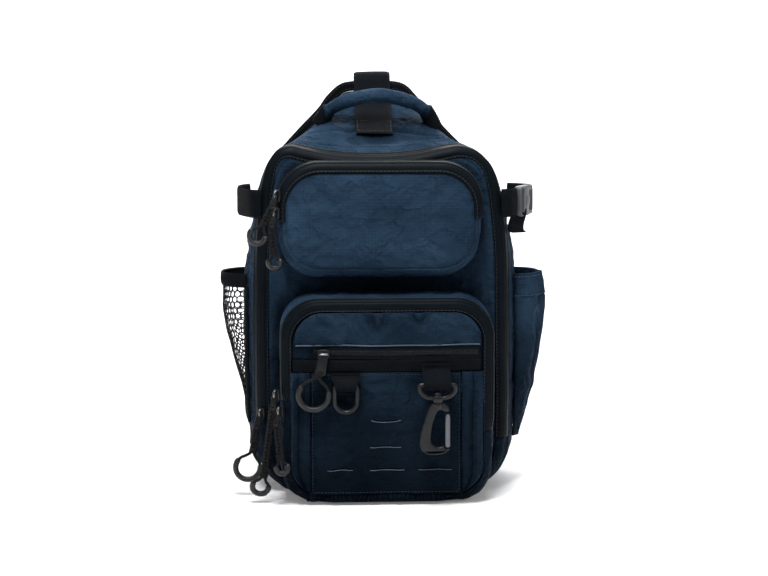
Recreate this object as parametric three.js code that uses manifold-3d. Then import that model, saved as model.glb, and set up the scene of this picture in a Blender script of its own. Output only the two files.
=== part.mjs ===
// Fishing tackle sling bag: a small upright single-shoulder bag with a sloping
// top, two zipped pockets on its front, a mesh pocket on its left side and a
// cloth pocket on its right.
// Millimetres. Front faces -Y, +X is to the right seen from the front, +Z up.
import * as THREE from 'three';
import { mergeVertices } from 'three/addons/utils/BufferGeometryUtils.js';
import Module from 'manifold-3d';

const wasm = await Module();
wasm.setup();

// ---------------------------------------------------------------- sizes
const CLOTH = 2.4;          // wall of the padded cloth panels
const GAP = 0.4;            // clearance between touching pieces
const REAR_Y = 44;          // plane of the rear seam
const BAND_BACK_Y = -26.5;  // rear edge of the main zip band
const FRONT_Y = -38;        // plane in which the front outline is given
const PANEL_Y = -44;        // outer face of the front panel
const BAND_WIDTH = 12;      // main zip band seen from the front
const BACK_PAD_Y = 51;      // outer face of the padded back panel
const WEB25 = 25, WEB33 = 33, WEB_T = 1.9;   // webbing widths and thickness
const FACE_Y = -92;         // plane on which the front overlays of the lower pocket lie
const HOOK_Y = -109.5;      // swivel axis of the snap hook, clear of the cloth for a full turn
const HOOK_X = 42;

// Outline of the bag, a row per station from the top centre to the bottom
// centre. rear*: seam round the back panel, front*: outer edge of the zip band;
// left/right are x, flange is how far the rim stands out past the side walls,
// bulge is how far the side wall bows outward half way between them.
const STATIONS = [
  { rearZ: 366,   rearL: -20,  rearR: 8,   frontZ: 304.5, frontL: -30,  frontR: 10,  flange: 9, bulge: -3 },
  { rearZ: 363,   rearL: -36,  rearR: 23,  frontZ: 307,   frontL: -52,  frontR: 32,  flange: 9, bulge: -3 },
  { rearZ: 351.5, rearL: -49,  rearR: 35,  frontZ: 309.5, frontL: -72,  frontR: 52,  flange: 9, bulge: -2 },
  { rearZ: 340.5, rearL: -57,  rearR: 44,  frontZ: 310,   frontL: -82,  frontR: 66,  flange: 9, bulge: -1 },
  { rearZ: 318.5, rearL: -78,  rearR: 65,  frontZ: 307,   frontL: -92,  frontR: 78,  flange: 9, bulge: 0 },
  { rearZ: 300,   rearL: -94,  rearR: 83,  frontZ: 300,   frontL: -99,  frontR: 88,  flange: 8, bulge: 1 },
  { rearZ: 280,   rearL: -107, rearR: 98,  frontZ: 288,   frontL: -105, frontR: 97,  flange: 6, bulge: 2 },
  { rearZ: 258,   rearL: -114, rearR: 108, frontZ: 264,   frontL: -110, frontR: 104, flange: 4, bulge: 4 },
  { rearZ: 220,   rearL: -120, rearR: 117, frontZ: 220,   frontL: -113, frontR: 109, flange: 3, bulge: 6 },
  { rearZ: 180,   rearL: -123, rearR: 122, frontZ: 180,   frontL: -114, frontR: 110, flange: 3, bulge: 7 },
  { rearZ: 110,   rearL: -124, rearR: 124, frontZ: 110,   frontL: -114, frontR: 111, flange: 3, bulge: 7 },
  { rearZ: 50,    rearL: -122, rearR: 123, frontZ: 46,    frontL: -113, frontR: 111, flange: 3, bulge: 5 },
  { rearZ: 24,    rearL: -114, rearR: 115, frontZ: 22,    frontL: -107, frontR: 106, flange: 2.5, bulge: 3 },
  { rearZ: 8,     rearL: -100, rearR: 101, frontZ: 7,     frontL: -94,  frontR: 93,  flange: 2, bulge: 1 },
  { rearZ: 0,     rearL: -80,  rearR: 80,  frontZ: 0,     frontL: -76,  frontR: 76,  flange: 0, bulge: 0 },
];
const LAST = STATIONS.length - 1;
const LOOP = 2 * STATIONS.length + 2;       // stations on both sides and the two centre points
const right = (s) => s + 1;                 // loop position of a station on the right
const left = (s) => LOOP - 1 - s;           // and on the left

// Pockets on the front, a row per loop from the seam on the bag to the middle of the face.
const UPPER_POCKET = [
  { y: PANEL_Y - GAP, left: -92, right: 82, bottom: 194, top: 294, corner: 33 },
  { y: -60, left: -93, right: 83, bottom: 199, top: 297, corner: 36 },
  { y: -67, left: -90, right: 80, bottom: 202, top: 293, corner: 36 },
  { y: -72, left: -83, right: 73, bottom: 207, top: 285, corner: 31 },
  { y: -75, left: -55, right: 46, bottom: 225, top: 268, corner: 18 },
];
const LOWER_POCKET = [
  { y: PANEL_Y - GAP, left: -92, right: 93, bottom: 0, top: 181, corner: 30 },
  { y: -78, left: -92, right: 93, bottom: 0, top: 180, corner: 32 },
  { y: -86, left: -89.5, right: 91, bottom: 2.5, top: 177, corner: 32 },
  { y: -90, left: -82, right: 83, bottom: 9, top: 168, corner: 26 },
  { y: -91, left: -55, right: 56, bottom: 35, top: 142, corner: 12 },
];
const UPPER_BAND_END_Z = 245, LOWER_BAND_END_LEFT_Z = 92, LOWER_BAND_END_RIGHT_Z = 64;

// Overlays on the face of the lower pocket
const FLAP = { left: -79, right: 80, bottom: 140, top: 166, corner: 22 };
const SLIP_ZIP = { left: -64, right: 79, bottom: 128.4, top: 139.4 };
const STRIP = { left: -80, right: 81, bottom: 117.2, top: 128 };
const MOLLE = { left: -66, right: 64, bottom: 9, top: 116.8 };
const SLOT_HEIGHT = 1.6;
const SLOTS = [
  { z: 75, left: -14, right: 12 },
  { z: 51, left: -15, right: 12 },
  { z: 31, left: -52, right: -30 },
  { z: 31, left: -15, right: 15 },
  { z: 31, left: 27, right: 56 },
];

// Side pockets: how far each stands out at mid depth, a row per height
const MESH_POCKET = [
  { z: 183, out: 144.5 }, { z: 163, out: 144.5 }, { z: 141, out: 141 }, { z: 119, out: 135.5 },
  { z: 97, out: 129.5 }, { z: 75, out: 124.6 }, { z: 60, out: 122.4 },
];
const RIGHT_POCKET = [
  { z: 193, out: 145 }, { z: 172, out: 148.5 }, { z: 139, out: 147.5 }, { z: 117, out: 144.5 },
  { z: 95, out: 140 }, { z: 72, out: 134 }, { z: 45, out: 126.5 },
];
const SIDE_POCKET_Y = { front: -22, back: 38 };

// ---------------------------------------------------------------- helpers
const V = (x, y, z) => new THREE.Vector3(x, y, z);
const lerp = (a, b, t) => a + (b - a) * t;

// Closed body between two grids of points [row][i]. closed: rows wrap round;
// pole: the last row is one point.
function gridSolid(outer, inner, { closed = false, pole = false } = {}) {
  const pos = [], index = [];
  const ids = [outer, inner].map((grid) => grid.map((row) => row.map((p) => { pos.push(p.x, p.y, p.z); return pos.length / 3 - 1; })));
  const quad = (a, b, c, d) => { index.push(a, b, c, a, c, d); };
  const rows = outer.length, n = outer[0].length, span = closed ? n : n - 1;
  const wide = pole ? rows - 1 : rows;
  ids.forEach((id, side) => {
    for (let j = 0; j < wide - 1; j++) for (let i = 0; i < span; i++) {
      const k = (i + 1) % n;
      if (side === 0) quad(id[j][i], id[j][k], id[j + 1][k], id[j + 1][i]);
      else quad(id[j][i], id[j + 1][i], id[j + 1][k], id[j][k]);
    }
    if (pole) for (let i = 0; i < span; i++) {
      const k = (i + 1) % n, a = id[wide - 1][i], b = id[wide - 1][k], c = id[rows - 1][0];
      if (side === 0) index.push(a, b, c); else index.push(a, c, b);
    }
  });
  const [o, q] = ids;
  for (let i = 0; i < span; i++) {
    const k = (i + 1) % n;
    quad(o[0][i], q[0][i], q[0][k], o[0][k]);
    if (!pole) quad(o[rows - 1][i], o[rows - 1][k], q[rows - 1][k], q[rows - 1][i]);
  }
  if (!closed) for (let j = 0; j < rows - 1; j++) {
    quad(o[j][0], o[j + 1][0], q[j + 1][0], q[j][0]);
    quad(o[j][n - 1], q[j][n - 1], q[j + 1][n - 1], o[j + 1][n - 1]);
  }
  return facing(pos, index);
}

// Geometry with its faces pointing out
function facing(pos, index) {
  let vol = 0;
  const p = (i) => V(pos[3 * i], pos[3 * i + 1], pos[3 * i + 2]);
  for (let i = 0; i < index.length; i += 3) vol += p(index[i]).dot(p(index[i + 1]).cross(p(index[i + 2])));
  if (vol < 0) for (let i = 0; i < index.length; i += 3) [index[i + 1], index[i + 2]] = [index[i + 2], index[i + 1]];
  const g = new THREE.BufferGeometry();
  g.setAttribute('position', new THREE.Float32BufferAttribute(pos, 3));
  g.setIndex(index);
  g.computeVertexNormals();
  return g;
}

// Moves every point of a grid along the surface normal, away from `from`
function offsetGrid(grid, d, from, closed = false) {
  const n = grid[0].length;
  return grid.map((row, j) => row.map((p, i) => {
    if (row.length === 1) return p.clone().add(V(0, Math.sign(p.y - from.y) * d, 0));
    const at = (jj, ii) => {
      const r = grid[Math.min(Math.max(jj, 0), grid.length - 1)];
      return r.length === 1 ? r[0] : r[closed ? (ii + n) % n : Math.min(Math.max(ii, 0), n - 1)];
    };
    const du = at(j, i + 1).clone().sub(at(j, i - 1)), dv = at(j + 1, i).clone().sub(at(j - 1, i));
    const nrm = du.cross(dv).normalize();
    if (nrm.dot(p.clone().sub(from)) < 0) nrm.negate();
    return p.clone().addScaledVector(nrm, d);
  }));
}
const clampGrid = (grid, axis, lo, hi) => grid.map((row) => row.map((p) => { const q = p.clone(); q[axis] = Math.min(Math.max(q[axis], lo), hi); return q; }));

// Rounded rectangle in the XZ plane, clockwise from the top centre
function roundLoop({ left: l, right: r, bottom: b, top: t, corner: c, y }, per = 4) {
  const pts = [V((l + r) / 2, y, t)];
  const arc = (cx, cz, a0) => { for (let k = 0; k <= per; k++) { const a = a0 - (k / per) * Math.PI / 2; pts.push(V(cx + c * Math.cos(a), y, cz + c * Math.sin(a))); } };
  arc(r - c, t - c, Math.PI / 2); pts.push(V(r, y, (b + t) / 2));
  arc(r - c, b + c, 0); pts.push(V((l + r) / 2, y, b));
  arc(l + c, b + c, -Math.PI / 2); pts.push(V(l, y, (b + t) / 2));
  arc(l + c, t - c, Math.PI);
  return pts;
}
// The same rectangle's upper part only, from (left, endL) over the top to (right, endR)
function archLoop({ left: l, right: r, top: t, corner: c, y }, endL, endR, per = 6) {
  const pts = [V(l, y, endL), V(l, y, lerp(endL, t - c, 0.5))];
  for (let k = 0; k <= per; k++) { const a = Math.PI - (k / per) * Math.PI / 2; pts.push(V(l + c + c * Math.cos(a), y, t - c + c * Math.sin(a))); }
  pts.push(V((l + r) / 2, y, t));
  for (let k = 0; k <= per; k++) { const a = Math.PI / 2 - (k / per) * Math.PI / 2; pts.push(V(r - c + c * Math.cos(a), y, t - c + c * Math.sin(a))); }
  pts.push(V(r, y, lerp(endR, t - c, 0.5)), V(r, y, endR));
  return pts;
}

// Open-backed pocket from its loops, with cloth thickness inwards
function pocketShell(table, middle) {
  const grid = table.map((row) => roundLoop(row));
  grid.push([middle]);
  const inside = V(middle.x, PANEL_Y + 5, middle.z);
  const inner = clampGrid(offsetGrid(grid, -CLOTH, inside, true), 'y', -1000, PANEL_Y - GAP);
  return gridSolid(grid, inner, { closed: true, pole: true });
}
// Zip band lying on the pocket's shoulder, over its top and part way down its sides
function pocketBand(table, endL, endR, lift = 0.5, thick = 2.2) {
  const rows = [1, 2, 3].map((k) => archLoop(table[k], endL, endR));
  const from = V((table[1].left + table[1].right) / 2, PANEL_Y + 20, (table[1].bottom + table[1].top) / 2);
  return gridSolid(offsetGrid(rows, lift + thick, from), offsetGrid(rows, lift, from));
}

// Round or flat-oval tube along points; radius may vary; closed for a ring
function tube(points, radius, sides = 8, closed = false, flat = 1) {
  const n = points.length, pos = [], index = [];
  const r = typeof radius === 'function' ? radius : () => radius;
  const tangent = (i) => {
    const a = closed ? points[(i + n - 1) % n] : points[Math.max(i - 1, 0)];
    const b = closed ? points[(i + 1) % n] : points[Math.min(i + 1, n - 1)];
    return b.clone().sub(a).normalize();
  };
  const mean = points.reduce((s, p) => s.add(p), V(0, 0, 0)).multiplyScalar(1 / n);
  // plane normal of the loop or arch gives a twist-free frame
  const plane = V(0, 0, 0);
  for (let i = 0; i < n; i++) plane.add(points[i].clone().sub(mean).cross(points[(i + 1) % n].clone().sub(mean)));
  plane.normalize();
  for (let i = 0; i < n; i++) {
    const t = tangent(i), side = plane.clone().cross(t).normalize(), up = t.clone().cross(side).normalize();
    for (let k = 0; k < sides; k++) {
      const a = (k / sides) * 2 * Math.PI;
      const p = points[i].clone().addScaledVector(side, r(i / n) * Math.cos(a)).addScaledVector(up, r(i / n) * flat * Math.sin(a));
      pos.push(p.x, p.y, p.z);
    }
  }
  const rings = closed ? n : n - 1;
  for (let i = 0; i < rings; i++) for (let k = 0; k < sides; k++) {
    const a = i * sides + k, b = i * sides + (k + 1) % sides, c = ((i + 1) % n) * sides + (k + 1) % sides, d = ((i + 1) % n) * sides + k;
    index.push(a, b, c, a, c, d);
  }
  if (!closed) for (const [ring, turn] of [[0, 1], [n - 1, 0]]) for (let k = 1; k < sides - 1; k++) {
    const o = ring * sides;
    if (turn) index.push(o, o + k + 1, o + k); else index.push(o, o + k, o + k + 1);
  }
  return facing(pos, index);
}

// Webbing along a path, `across` is the direction of its width
function ribbon(path, across, width, thick) {
  const w = across.clone().normalize();
  const rows = [-0.5, 0.5].map((s) => path.map((p) => p.clone().addScaledVector(w, s * width)));
  const nrm = path.map((p, i) => path[Math.min(i + 1, path.length - 1)].clone().sub(path[Math.max(i - 1, 0)]).cross(w).normalize());
  const move = (d) => rows.map((row) => row.map((p, i) => p.clone().addScaledVector(nrm[i], d)));
  return gridSolid(move(thick / 2), move(-thick / 2));
}
const smooth = (pts, count, closed = false) => {
  const curve = new THREE.CatmullRomCurve3(pts, closed, 'centripetal');
  return closed ? curve.getPoints(count).slice(0, count) : curve.getPoints(count);
};

// Flat plate: an outline in XZ, extruded from y towards the front by depth
function plate(shape, y, depth, curveSegments = 4) {
  const g = new THREE.ExtrudeGeometry(shape, { depth, bevelEnabled: false, curveSegments });
  g.rotateX(Math.PI / 2);
  g.translate(0, y, 0);
  return g;
}
function rectShape({ left: l, right: r, bottom: b, top: t }, cTop = 1.5, cBottom = cTop) {
  const s = new THREE.Shape();
  s.moveTo(l + cBottom, b); s.lineTo(r - cBottom, b);
  s.absarc(r - cBottom, b + cBottom, cBottom, -Math.PI / 2, 0);
  s.lineTo(r, t - cTop); s.absarc(r - cTop, t - cTop, cTop, 0, Math.PI / 2);
  s.lineTo(l + cTop, t); s.absarc(l + cTop, t - cTop, cTop, Math.PI / 2, Math.PI);
  s.lineTo(l, b + cBottom); s.absarc(l + cBottom, b + cBottom, cBottom, Math.PI, 1.5 * Math.PI);
  return s;
}
const toSolid = (g) => {
  const bare = g.clone();
  bare.deleteAttribute('normal'); bare.deleteAttribute('uv');
  const m = mergeVertices(bare, 1e-4);
  const count = m.getAttribute('position').count;
  const index = m.index ? Uint32Array.from(m.index.array) : Uint32Array.from({ length: count }, (_, i) => i);
  return new wasm.Manifold(new wasm.Mesh({ numProp: 3, vertProperties: Float32Array.from(m.getAttribute('position').array), triVerts: index }));
};
const fromSolid = (solid) => {
  const m = solid.getMesh();
  const g = new THREE.BufferGeometry();
  g.setAttribute('position', new THREE.Float32BufferAttribute(Float32Array.from(m.vertProperties), 3));
  g.setIndex(Array.from(m.triVerts));
  g.computeVertexNormals();
  return g;
};
const cut = (a, ...tools) => fromSolid(tools.reduce((s, t) => s.subtract(toSolid(t)), toSolid(a)));
const join = (a, ...more) => fromSolid(more.reduce((s, t) => s.add(toSolid(t)), toSolid(a)));
const block = (cx, cy, cz, sx, sy, sz) => { const g = new THREE.BoxGeometry(sx, sy, sz); g.translate(cx, cy, cz); return g; };

// ---------------------------------------------------------------- outline loops
function controlLoop(which, inset = 0) {
  const z = which + 'Z', l = which + 'L', r = which + 'R';
  const top = STATIONS[0], low = STATIONS[LAST];
  const pts = [V((top[l] + top[r]) / 2, 0, top[z] + (which === 'rear' ? 1 : -0.5))];
  STATIONS.forEach((s) => pts.push(V(s[r], 0, s[z])));
  pts.push(V((low[l] + low[r]) / 2, 0, 0));
  [...STATIONS].reverse().forEach((s) => pts.push(V(s[l], 0, s[z])));
  return pts;
}
const REAR_LOOP = controlLoop('rear'), FRONT_LOOP = controlLoop('front');
const FLANGE = [STATIONS[0].flange, ...STATIONS.map((s) => s.flange), 0, ...[...STATIONS].reverse().map((s) => s.flange)];
const BULGE = [STATIONS[0].bulge, ...STATIONS.map((s) => s.bulge), 0, ...[...STATIONS].reverse().map((s) => s.bulge)];
const periodic = (list, k) => { const n = list.length, a = ((Math.floor(k) % n) + n) % n, f = k - Math.floor(k); return lerp(list[a], list[(a + 1) % n], f); };

// Point on the outline at loop position k and depth y, moved inwards by inset
function outlineAt(k, y, inset = 0, flanged = true) {
  const u = (REAR_Y - y) / (REAR_Y - FRONT_Y);
  const at = (kk) => {
    const t = (((kk % LOOP) + LOOP) % LOOP) / LOOP;
    return rearCurve.getPoint(t).lerp(frontCurve.getPoint(t), Math.min(Math.max(u, 0), 1));
  };
  const p = at(k), a = at(k - 0.15), b = at(k + 0.15);
  const tx = b.x - a.x, tz = b.z - a.z, len = Math.hypot(tx, tz);
  const nx = -tz / len, nz = tx / len;      // points out of the loop (clockwise from the top)
  const bulge = 4 * u * (1 - u) * periodic(BULGE, k) * (u > 0 && u < 1 ? 1 : 0);
  const flange = flanged ? periodic(FLANGE, k) * (1 - Math.min(Math.max(u, 0), 1)) : 0;
  const d = bulge - flange - inset;
  return V(p.x + nx * d * OUT, y, Math.max(p.z + nz * d * OUT, inset > 0 ? Math.min(inset, 3) : 0));
}
const rearCurve = new THREE.CatmullRomCurve3(REAR_LOOP, true, 'catmullrom', 0.5);
const frontCurve = new THREE.CatmullRomCurve3(FRONT_LOOP, true, 'catmullrom', 0.5);
const OUT = 1;
const range = (a, b, n) => Array.from({ length: n + 1 }, (_, i) => lerp(a, b, i / n));

// Piece of the wall between the rim and the zip band
function wallPiece(k0, k1, steps) {
  const ks = range(k0 + 0.015, k1 - 0.015, steps);
  const ys = [REAR_Y - GAP, 28, 10, -8, BAND_BACK_Y + GAP];
  return gridSolid(ys.map((y) => ks.map((k) => outlineAt(k, y))), ys.map((y) => ks.map((k) => outlineAt(k, y, CLOTH))));
}
// Piece of the rounded edge between that wall and the front panel
const EDGE_PROFILE = [
  { inset: 0, y: BAND_BACK_Y }, { inset: 0.6, y: -33.5 }, { inset: 3, y: -39.5 },
  { inset: 7, y: -43 }, { inset: BAND_WIDTH, y: -44 },
];
function edgePiece(k0, k1, steps, thick) {
  const ks = range(k0, k1, steps);
  const rows = EDGE_PROFILE.map(({ inset, y }) => ks.map((k) => { const p = outlineAt(k, Math.max(y, FRONT_Y), inset); p.y = y; return p; }));
  const inner = EDGE_PROFILE.map(({ inset, y }, j) => ks.map((k) => {
    const din = [thick, thick, thick * 0.8, thick * 0.45, 0][j], dy = [0, 0, thick * 0.6, thick * 0.9, thick][j];
    const p = outlineAt(k, Math.max(y, FRONT_Y), inset + din); p.y = y + dy; return p;
  }));
  return gridSolid(rows, inner);
}

// ---------------------------------------------------------------- materials
const material = (color, roughness = 0.8, metalness = 0) => new THREE.MeshStandardMaterial({ color, roughness, metalness });
const NAVY = material(0x22344f), BLACK = material(0x111215, 0.7), RUBBER = material(0x17181b, 0.5);
const MESH = material(0x151619, 0.9), PLASTIC = material(0x15161a, 0.45), STEEL = material(0xb9bcc2, 0.3, 1);
const group = new THREE.Group();
const add = (name, geometry, mat) => { const m = new THREE.Mesh(geometry, mat); m.name = name; group.add(m); return m; };

// ---------------------------------------------------------------- main compartment
const SPLIT_TOP = 5, SPLIT_BASE = 13.6;     // stations where the wall pieces meet
add('top_panel', wallPiece(left(SPLIT_TOP) - LOOP, right(SPLIT_TOP), 18), NAVY);
add('gusset_right', wallPiece(right(SPLIT_TOP), right(SPLIT_BASE), 14), NAVY);
add('base_panel', wallPiece(right(SPLIT_BASE), left(SPLIT_BASE), 6), NAVY);
add('gusset_left', wallPiece(left(SPLIT_BASE), left(SPLIT_TOP), 14), NAVY);

const BAND_END_RIGHT = 10.95, BAND_END_LEFT = 10.6;   // stations where the zip band stops
add('main_zip_band', edgePiece(left(BAND_END_LEFT) - LOOP, right(BAND_END_RIGHT), 36, 3), RUBBER);
add('base_welt', edgePiece(right(BAND_END_RIGHT) + 0.012, left(BAND_END_LEFT) - 0.012, 14, 3), NAVY);

function sheetInside(inset, y, thick, samples, scaleRows) {
  const ks = range(0, LOOP, samples).slice(0, samples);
  const edge = ks.map((k) => { const p = outlineAt(k, FRONT_Y, inset); p.y = y; return p; });
  const c = V(-2, y, 155);
  const rows = scaleRows.map((s) => edge.map((p) => c.clone().lerp(p, s)));
  rows.push([c]);
  const back = rows.map((row) => row.map((p) => V(p.x, y + thick, p.z)));
  return gridSolid(rows, back, { closed: true, pole: true });
}
add('front_panel', sheetInside(BAND_WIDTH + 0.5, PANEL_Y, 2.2, 40, [1, 0.6]), NAVY);

// Rim: bound edge that stands out past the walls, all round the back panel
const RIM = [
  { inset: 0, y: 47.2 }, { inset: 2, y: 44 }, { inset: 9.2, y: 44 },
  { inset: 9.8, y: 47.2 }, { inset: 9, y: 50.4 }, { inset: 2, y: 50.4 },
];
function ringAround(profile, samples) {
  const ks = range(0, LOOP, samples).slice(0, samples), pos = [], index = [];
  const m = profile.length;
  profile.forEach(({ inset, y }) => ks.forEach((k) => { const p = outlineAt(k, REAR_Y, inset, false); pos.push(p.x, y, p.z); }));
  for (let j = 0; j < m; j++) for (let i = 0; i < samples; i++) {
    const a = j * samples + i, b = j * samples + (i + 1) % samples, c = ((j + 1) % m) * samples + (i + 1) % samples, d = ((j + 1) % m) * samples + i;
    index.push(a, b, c, a, c, d);
  }
  return facing(pos, index);
}
add('rim_binding', ringAround(RIM, 48), BLACK);
{
  const samples = 40, ks = range(0, LOOP, samples).slice(0, samples), c = V(-2, 0, 160);
  const loop = (inset, y) => ks.map((k) => { const p = outlineAt(k, REAR_Y, inset, false); p.y = y; return p; });
  const outer = [loop(10.3, 45.5), loop(13, BACK_PAD_Y), [V(c.x, BACK_PAD_Y, c.z)]];
  const inner = [loop(10.3, 44.2), loop(13, 44.2), [V(c.x, 44.2, c.z)]];
  add('back_panel', gridSolid(outer, inner, { closed: true, pole: true }), BLACK);
}

// ---------------------------------------------------------------- front pockets
add('upper_pocket_shell', pocketShell(UPPER_POCKET, V(-5, -76, 246)), NAVY);
add('upper_zip_band', pocketBand(UPPER_POCKET, UPPER_BAND_END_Z, UPPER_BAND_END_Z + 2), RUBBER);
add('lower_pocket_shell', pocketShell(LOWER_POCKET, V(1, -91.4, 88)), NAVY);
add('lower_zip_band', pocketBand(LOWER_POCKET, LOWER_BAND_END_LEFT_Z, LOWER_BAND_END_RIGHT_Z), RUBBER);
add('pocket_flap', plate(rectShape(FLAP, FLAP.corner, 2), FACE_Y, 2.2), NAVY);
add('slip_zipper', plate(rectShape(SLIP_ZIP), FACE_Y, 2.4, 2), RUBBER);
add('webbing_strip', plate(rectShape(STRIP, 0.8), FACE_Y, WEB_T, 1), BLACK);
{
  const slots = SLOTS.map((s) => block((s.left + s.right) / 2, FACE_Y - 1, s.z, s.right - s.left, 6, SLOT_HEIGHT));
  add('molle_panel', cut(plate(rectShape(MOLLE, 2), FACE_Y, 1.6, 2), ...slots), NAVY);
}
// Expanding sides of the slip pocket, folded into pleats
function pleats(x0, x1, z0, z1, folds) {
  const pts = range(0, folds, folds).map((f, i) => V(lerp(x0, x1, f / folds), FACE_Y - (i % 2 ? 3.4 : 1.0), 0));
  const rows = [z0, z1].map((z) => pts.map((p) => V(p.x, p.y, z)));
  const back = rows.map((row) => row.map((p) => V(p.x, p.y + 1, p.z)));
  return gridSolid(rows, back);
}
add('pleat_left', pleats(-82, -66.6, 22, 116, 4), NAVY);
add('pleat_right', pleats(64.6, 82, 22, 116, 4), NAVY);

// ---------------------------------------------------------------- side pockets
function sideX(side, z, y) {
  // x of the wall's outer face at this height and depth
  let best = 0, gap = 1e9;
  for (let s = 6; s <= 13; s += 0.1) {
    const p = outlineAt(side > 0 ? right(s) : left(s), y);
    if (Math.abs(p.z - z) < gap) { gap = Math.abs(p.z - z); best = p.x; }
  }
  return best;
}
function sidePocket(side, table, zTop, zBottom, thick, rowsN, cols, lift = 0) {
  const { front, back } = SIDE_POCKET_Y;
  const outAt = (z) => {
    for (let i = 0; i < table.length - 1; i++) if (z <= table[i].z && z >= table[i + 1].z) return lerp(table[i].out, table[i + 1].out, (table[i].z - z) / (table[i].z - table[i + 1].z));
    return z > table[0].z ? table[0].out : table[table.length - 1].out;
  };
  const grid = range(0, 1, rowsN).map((v) => {
    const z = lerp(zTop, zBottom, v);
    return range(0, 1, cols).map((u) => {
      const y = lerp(front, back, u), wall = Math.abs(sideX(side, z, y)) + thick + 0.5 + lift;
      const bow = Math.pow(Math.sin(Math.PI * u), 0.6);
      return V(side * (wall + Math.max(outAt(z) + lift - wall, 0) * bow), y, z);
    });
  });
  const inner = grid.map((row) => row.map((p) => V(p.x - side * thick, p.y, p.z)));
  return gridSolid(grid, inner);
}
add('mesh_pocket', sidePocket(-1, MESH_POCKET, 182.6, 60, 1.6, 6, 10), MESH);
add('mesh_pocket_binding', sidePocket(-1, MESH_POCKET, 194.5, 183, 2.6, 1, 10, 0.4), BLACK);
add('right_pocket', sidePocket(1, RIGHT_POCKET, 193, 45, 2, 7, 10), NAVY);

// ---------------------------------------------------------------- handle and top webbing
const HANDLE_PATH = [V(-49.2, 8.4, 338), V(-46, 4.6, 342), V(-34, -2, 349), V(-4, -8, 353), V(26, -2, 349), V(38, 4.6, 342), V(41.2, 8.4, 338)];
add('handle', tube(smooth(HANDLE_PATH, 18), 6.3, 8), NAVY);
// Wrapped ends of the handle, sewn down to the sloping top
{
  const ks = range(left(6) - LOOP, right(6), 24), ys = [REAR_Y - GAP, 10, BAND_BACK_Y];
  const under = gridSolid(ys.map((y) => ks.map((k) => outlineAt(k, y, -0.5))), ys.map((y) => ks.map((k) => outlineAt(k, y, 14))));
  add('handle_end_left', cut(tube([V(-50.8, 9.4, 335.4), V(-52.6, 10.2, 332.2), V(-56, 11.8, 326)], 6.8, 8), under), BLACK);
  add('handle_end_right', cut(tube([V(43, 9.6, 334.8), V(44.8, 10.4, 331.4), V(48.8, 12.2, 322)], 6.8, 8), under), BLACK);
}
// Webbing from the sloping top over the rim, standing up in a small loop, and down the back
const topZ = (y) => outlineAt(0, y).z;
const TOP_WEB = [
  V(-7, -19, topZ(-19) + 2.2), V(-7, -5, topZ(-5) + 2.2), V(-7, 12, topZ(12) + 2.2), V(-7, 28, topZ(28) + 2.6),
  V(-7, 37, 360), V(-7, 40.5, 367), V(-7, 44, 371.6), V(-7, 48.5, 373.2), V(-7, 53, 371), V(-7, 55, 364), V(-7, 55.4, 350), V(-7, 55.4, 336),
];
add('top_webbing', ribbon(TOP_WEB, V(1, 0, 0), WEB33, WEB_T), BLACK);

// ---------------------------------------------------------------- compression straps
const STRAP_Z = 259;
const STRAP_LEFT = [V(-108, -47.2, STRAP_Z), V(-115, -45, STRAP_Z), V(-121, -34, STRAP_Z), V(-128, -12, STRAP_Z), V(-129.5, 8, STRAP_Z), V(-127, 28, STRAP_Z), V(-120, 42, STRAP_Z)];
const STRAP_FRONT_R = [V(103, -47.2, STRAP_Z), V(110, -45.4, STRAP_Z), V(115, -40, STRAP_Z), V(118, -34, STRAP_Z)];
const STRAP_REAR_R = [V(137, 7, STRAP_Z), V(138, 16, STRAP_Z), V(134, 30, STRAP_Z), V(119, 42, STRAP_Z)];
add('strap_left', ribbon(STRAP_LEFT, V(0, 0, 1), WEB25, WEB_T), BLACK);
add('strap_right_front', ribbon(STRAP_FRONT_R, V(0, 0, 1), WEB25, WEB_T), BLACK);
add('strap_right_rear', ribbon(STRAP_REAR_R, V(0, 0, 1), WEB25, WEB_T), BLACK);
{
  const m = add('buckle_right', new THREE.BoxGeometry(39, 8, 28), PLASTIC);
  m.position.set(127.6, -13.6, STRAP_Z);
  m.rotation.set(0, 0, Math.atan2(40, 18));
}
add('strap_right_tail', ribbon([V(122, -27, 243.6), V(124, -23, 236), V(122, -19, 229), V(119, -17, 224)], V(0.25, 0.97, 0), 20, WEB_T), BLACK);

// ---------------------------------------------------------------- ring and snap hook
const TAB_FRONT = FACE_Y - WEB_T - 0.4;
// Webbing folded round a bar: two layers that meet in front of the strip
function foldedTab(x, width, barY, barZ, barR, topEdge, joinZ) {
  const r = barR + 0.6 + WEB_T / 2, y1 = TAB_FRONT - WEB_T / 2 - 0.1, y2 = y1 - WEB_T - 0.4;
  const dy = barY - y2, dz = barZ - joinZ, len = Math.hypot(dy, dz), d = [dy / len, dz / len], p = [-d[1], d[0]];
  const at = (a, b) => V(x, barY + r * (a * p[0] + b * d[0]), barZ + r * (a * p[1] + b * d[1]));
  const path = [V(x, y1, topEdge), V(x, y1, joinZ + 0.4), at(1, -1.0)];
  for (let k = 0; k <= 8; k++) { const a = (k / 8) * Math.PI; path.push(at(Math.cos(a), Math.sin(a))); }
  path.push(at(-1, -1.0), V(x, y2, joinZ + 1.4), V(x, y2, topEdge));
  return ribbon(path, V(1, 0, 0), width, WEB_T);
}
const RING = { x: -36, y: -101, z: 106, width: 23, height: 26, wire: 1.9 };
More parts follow.
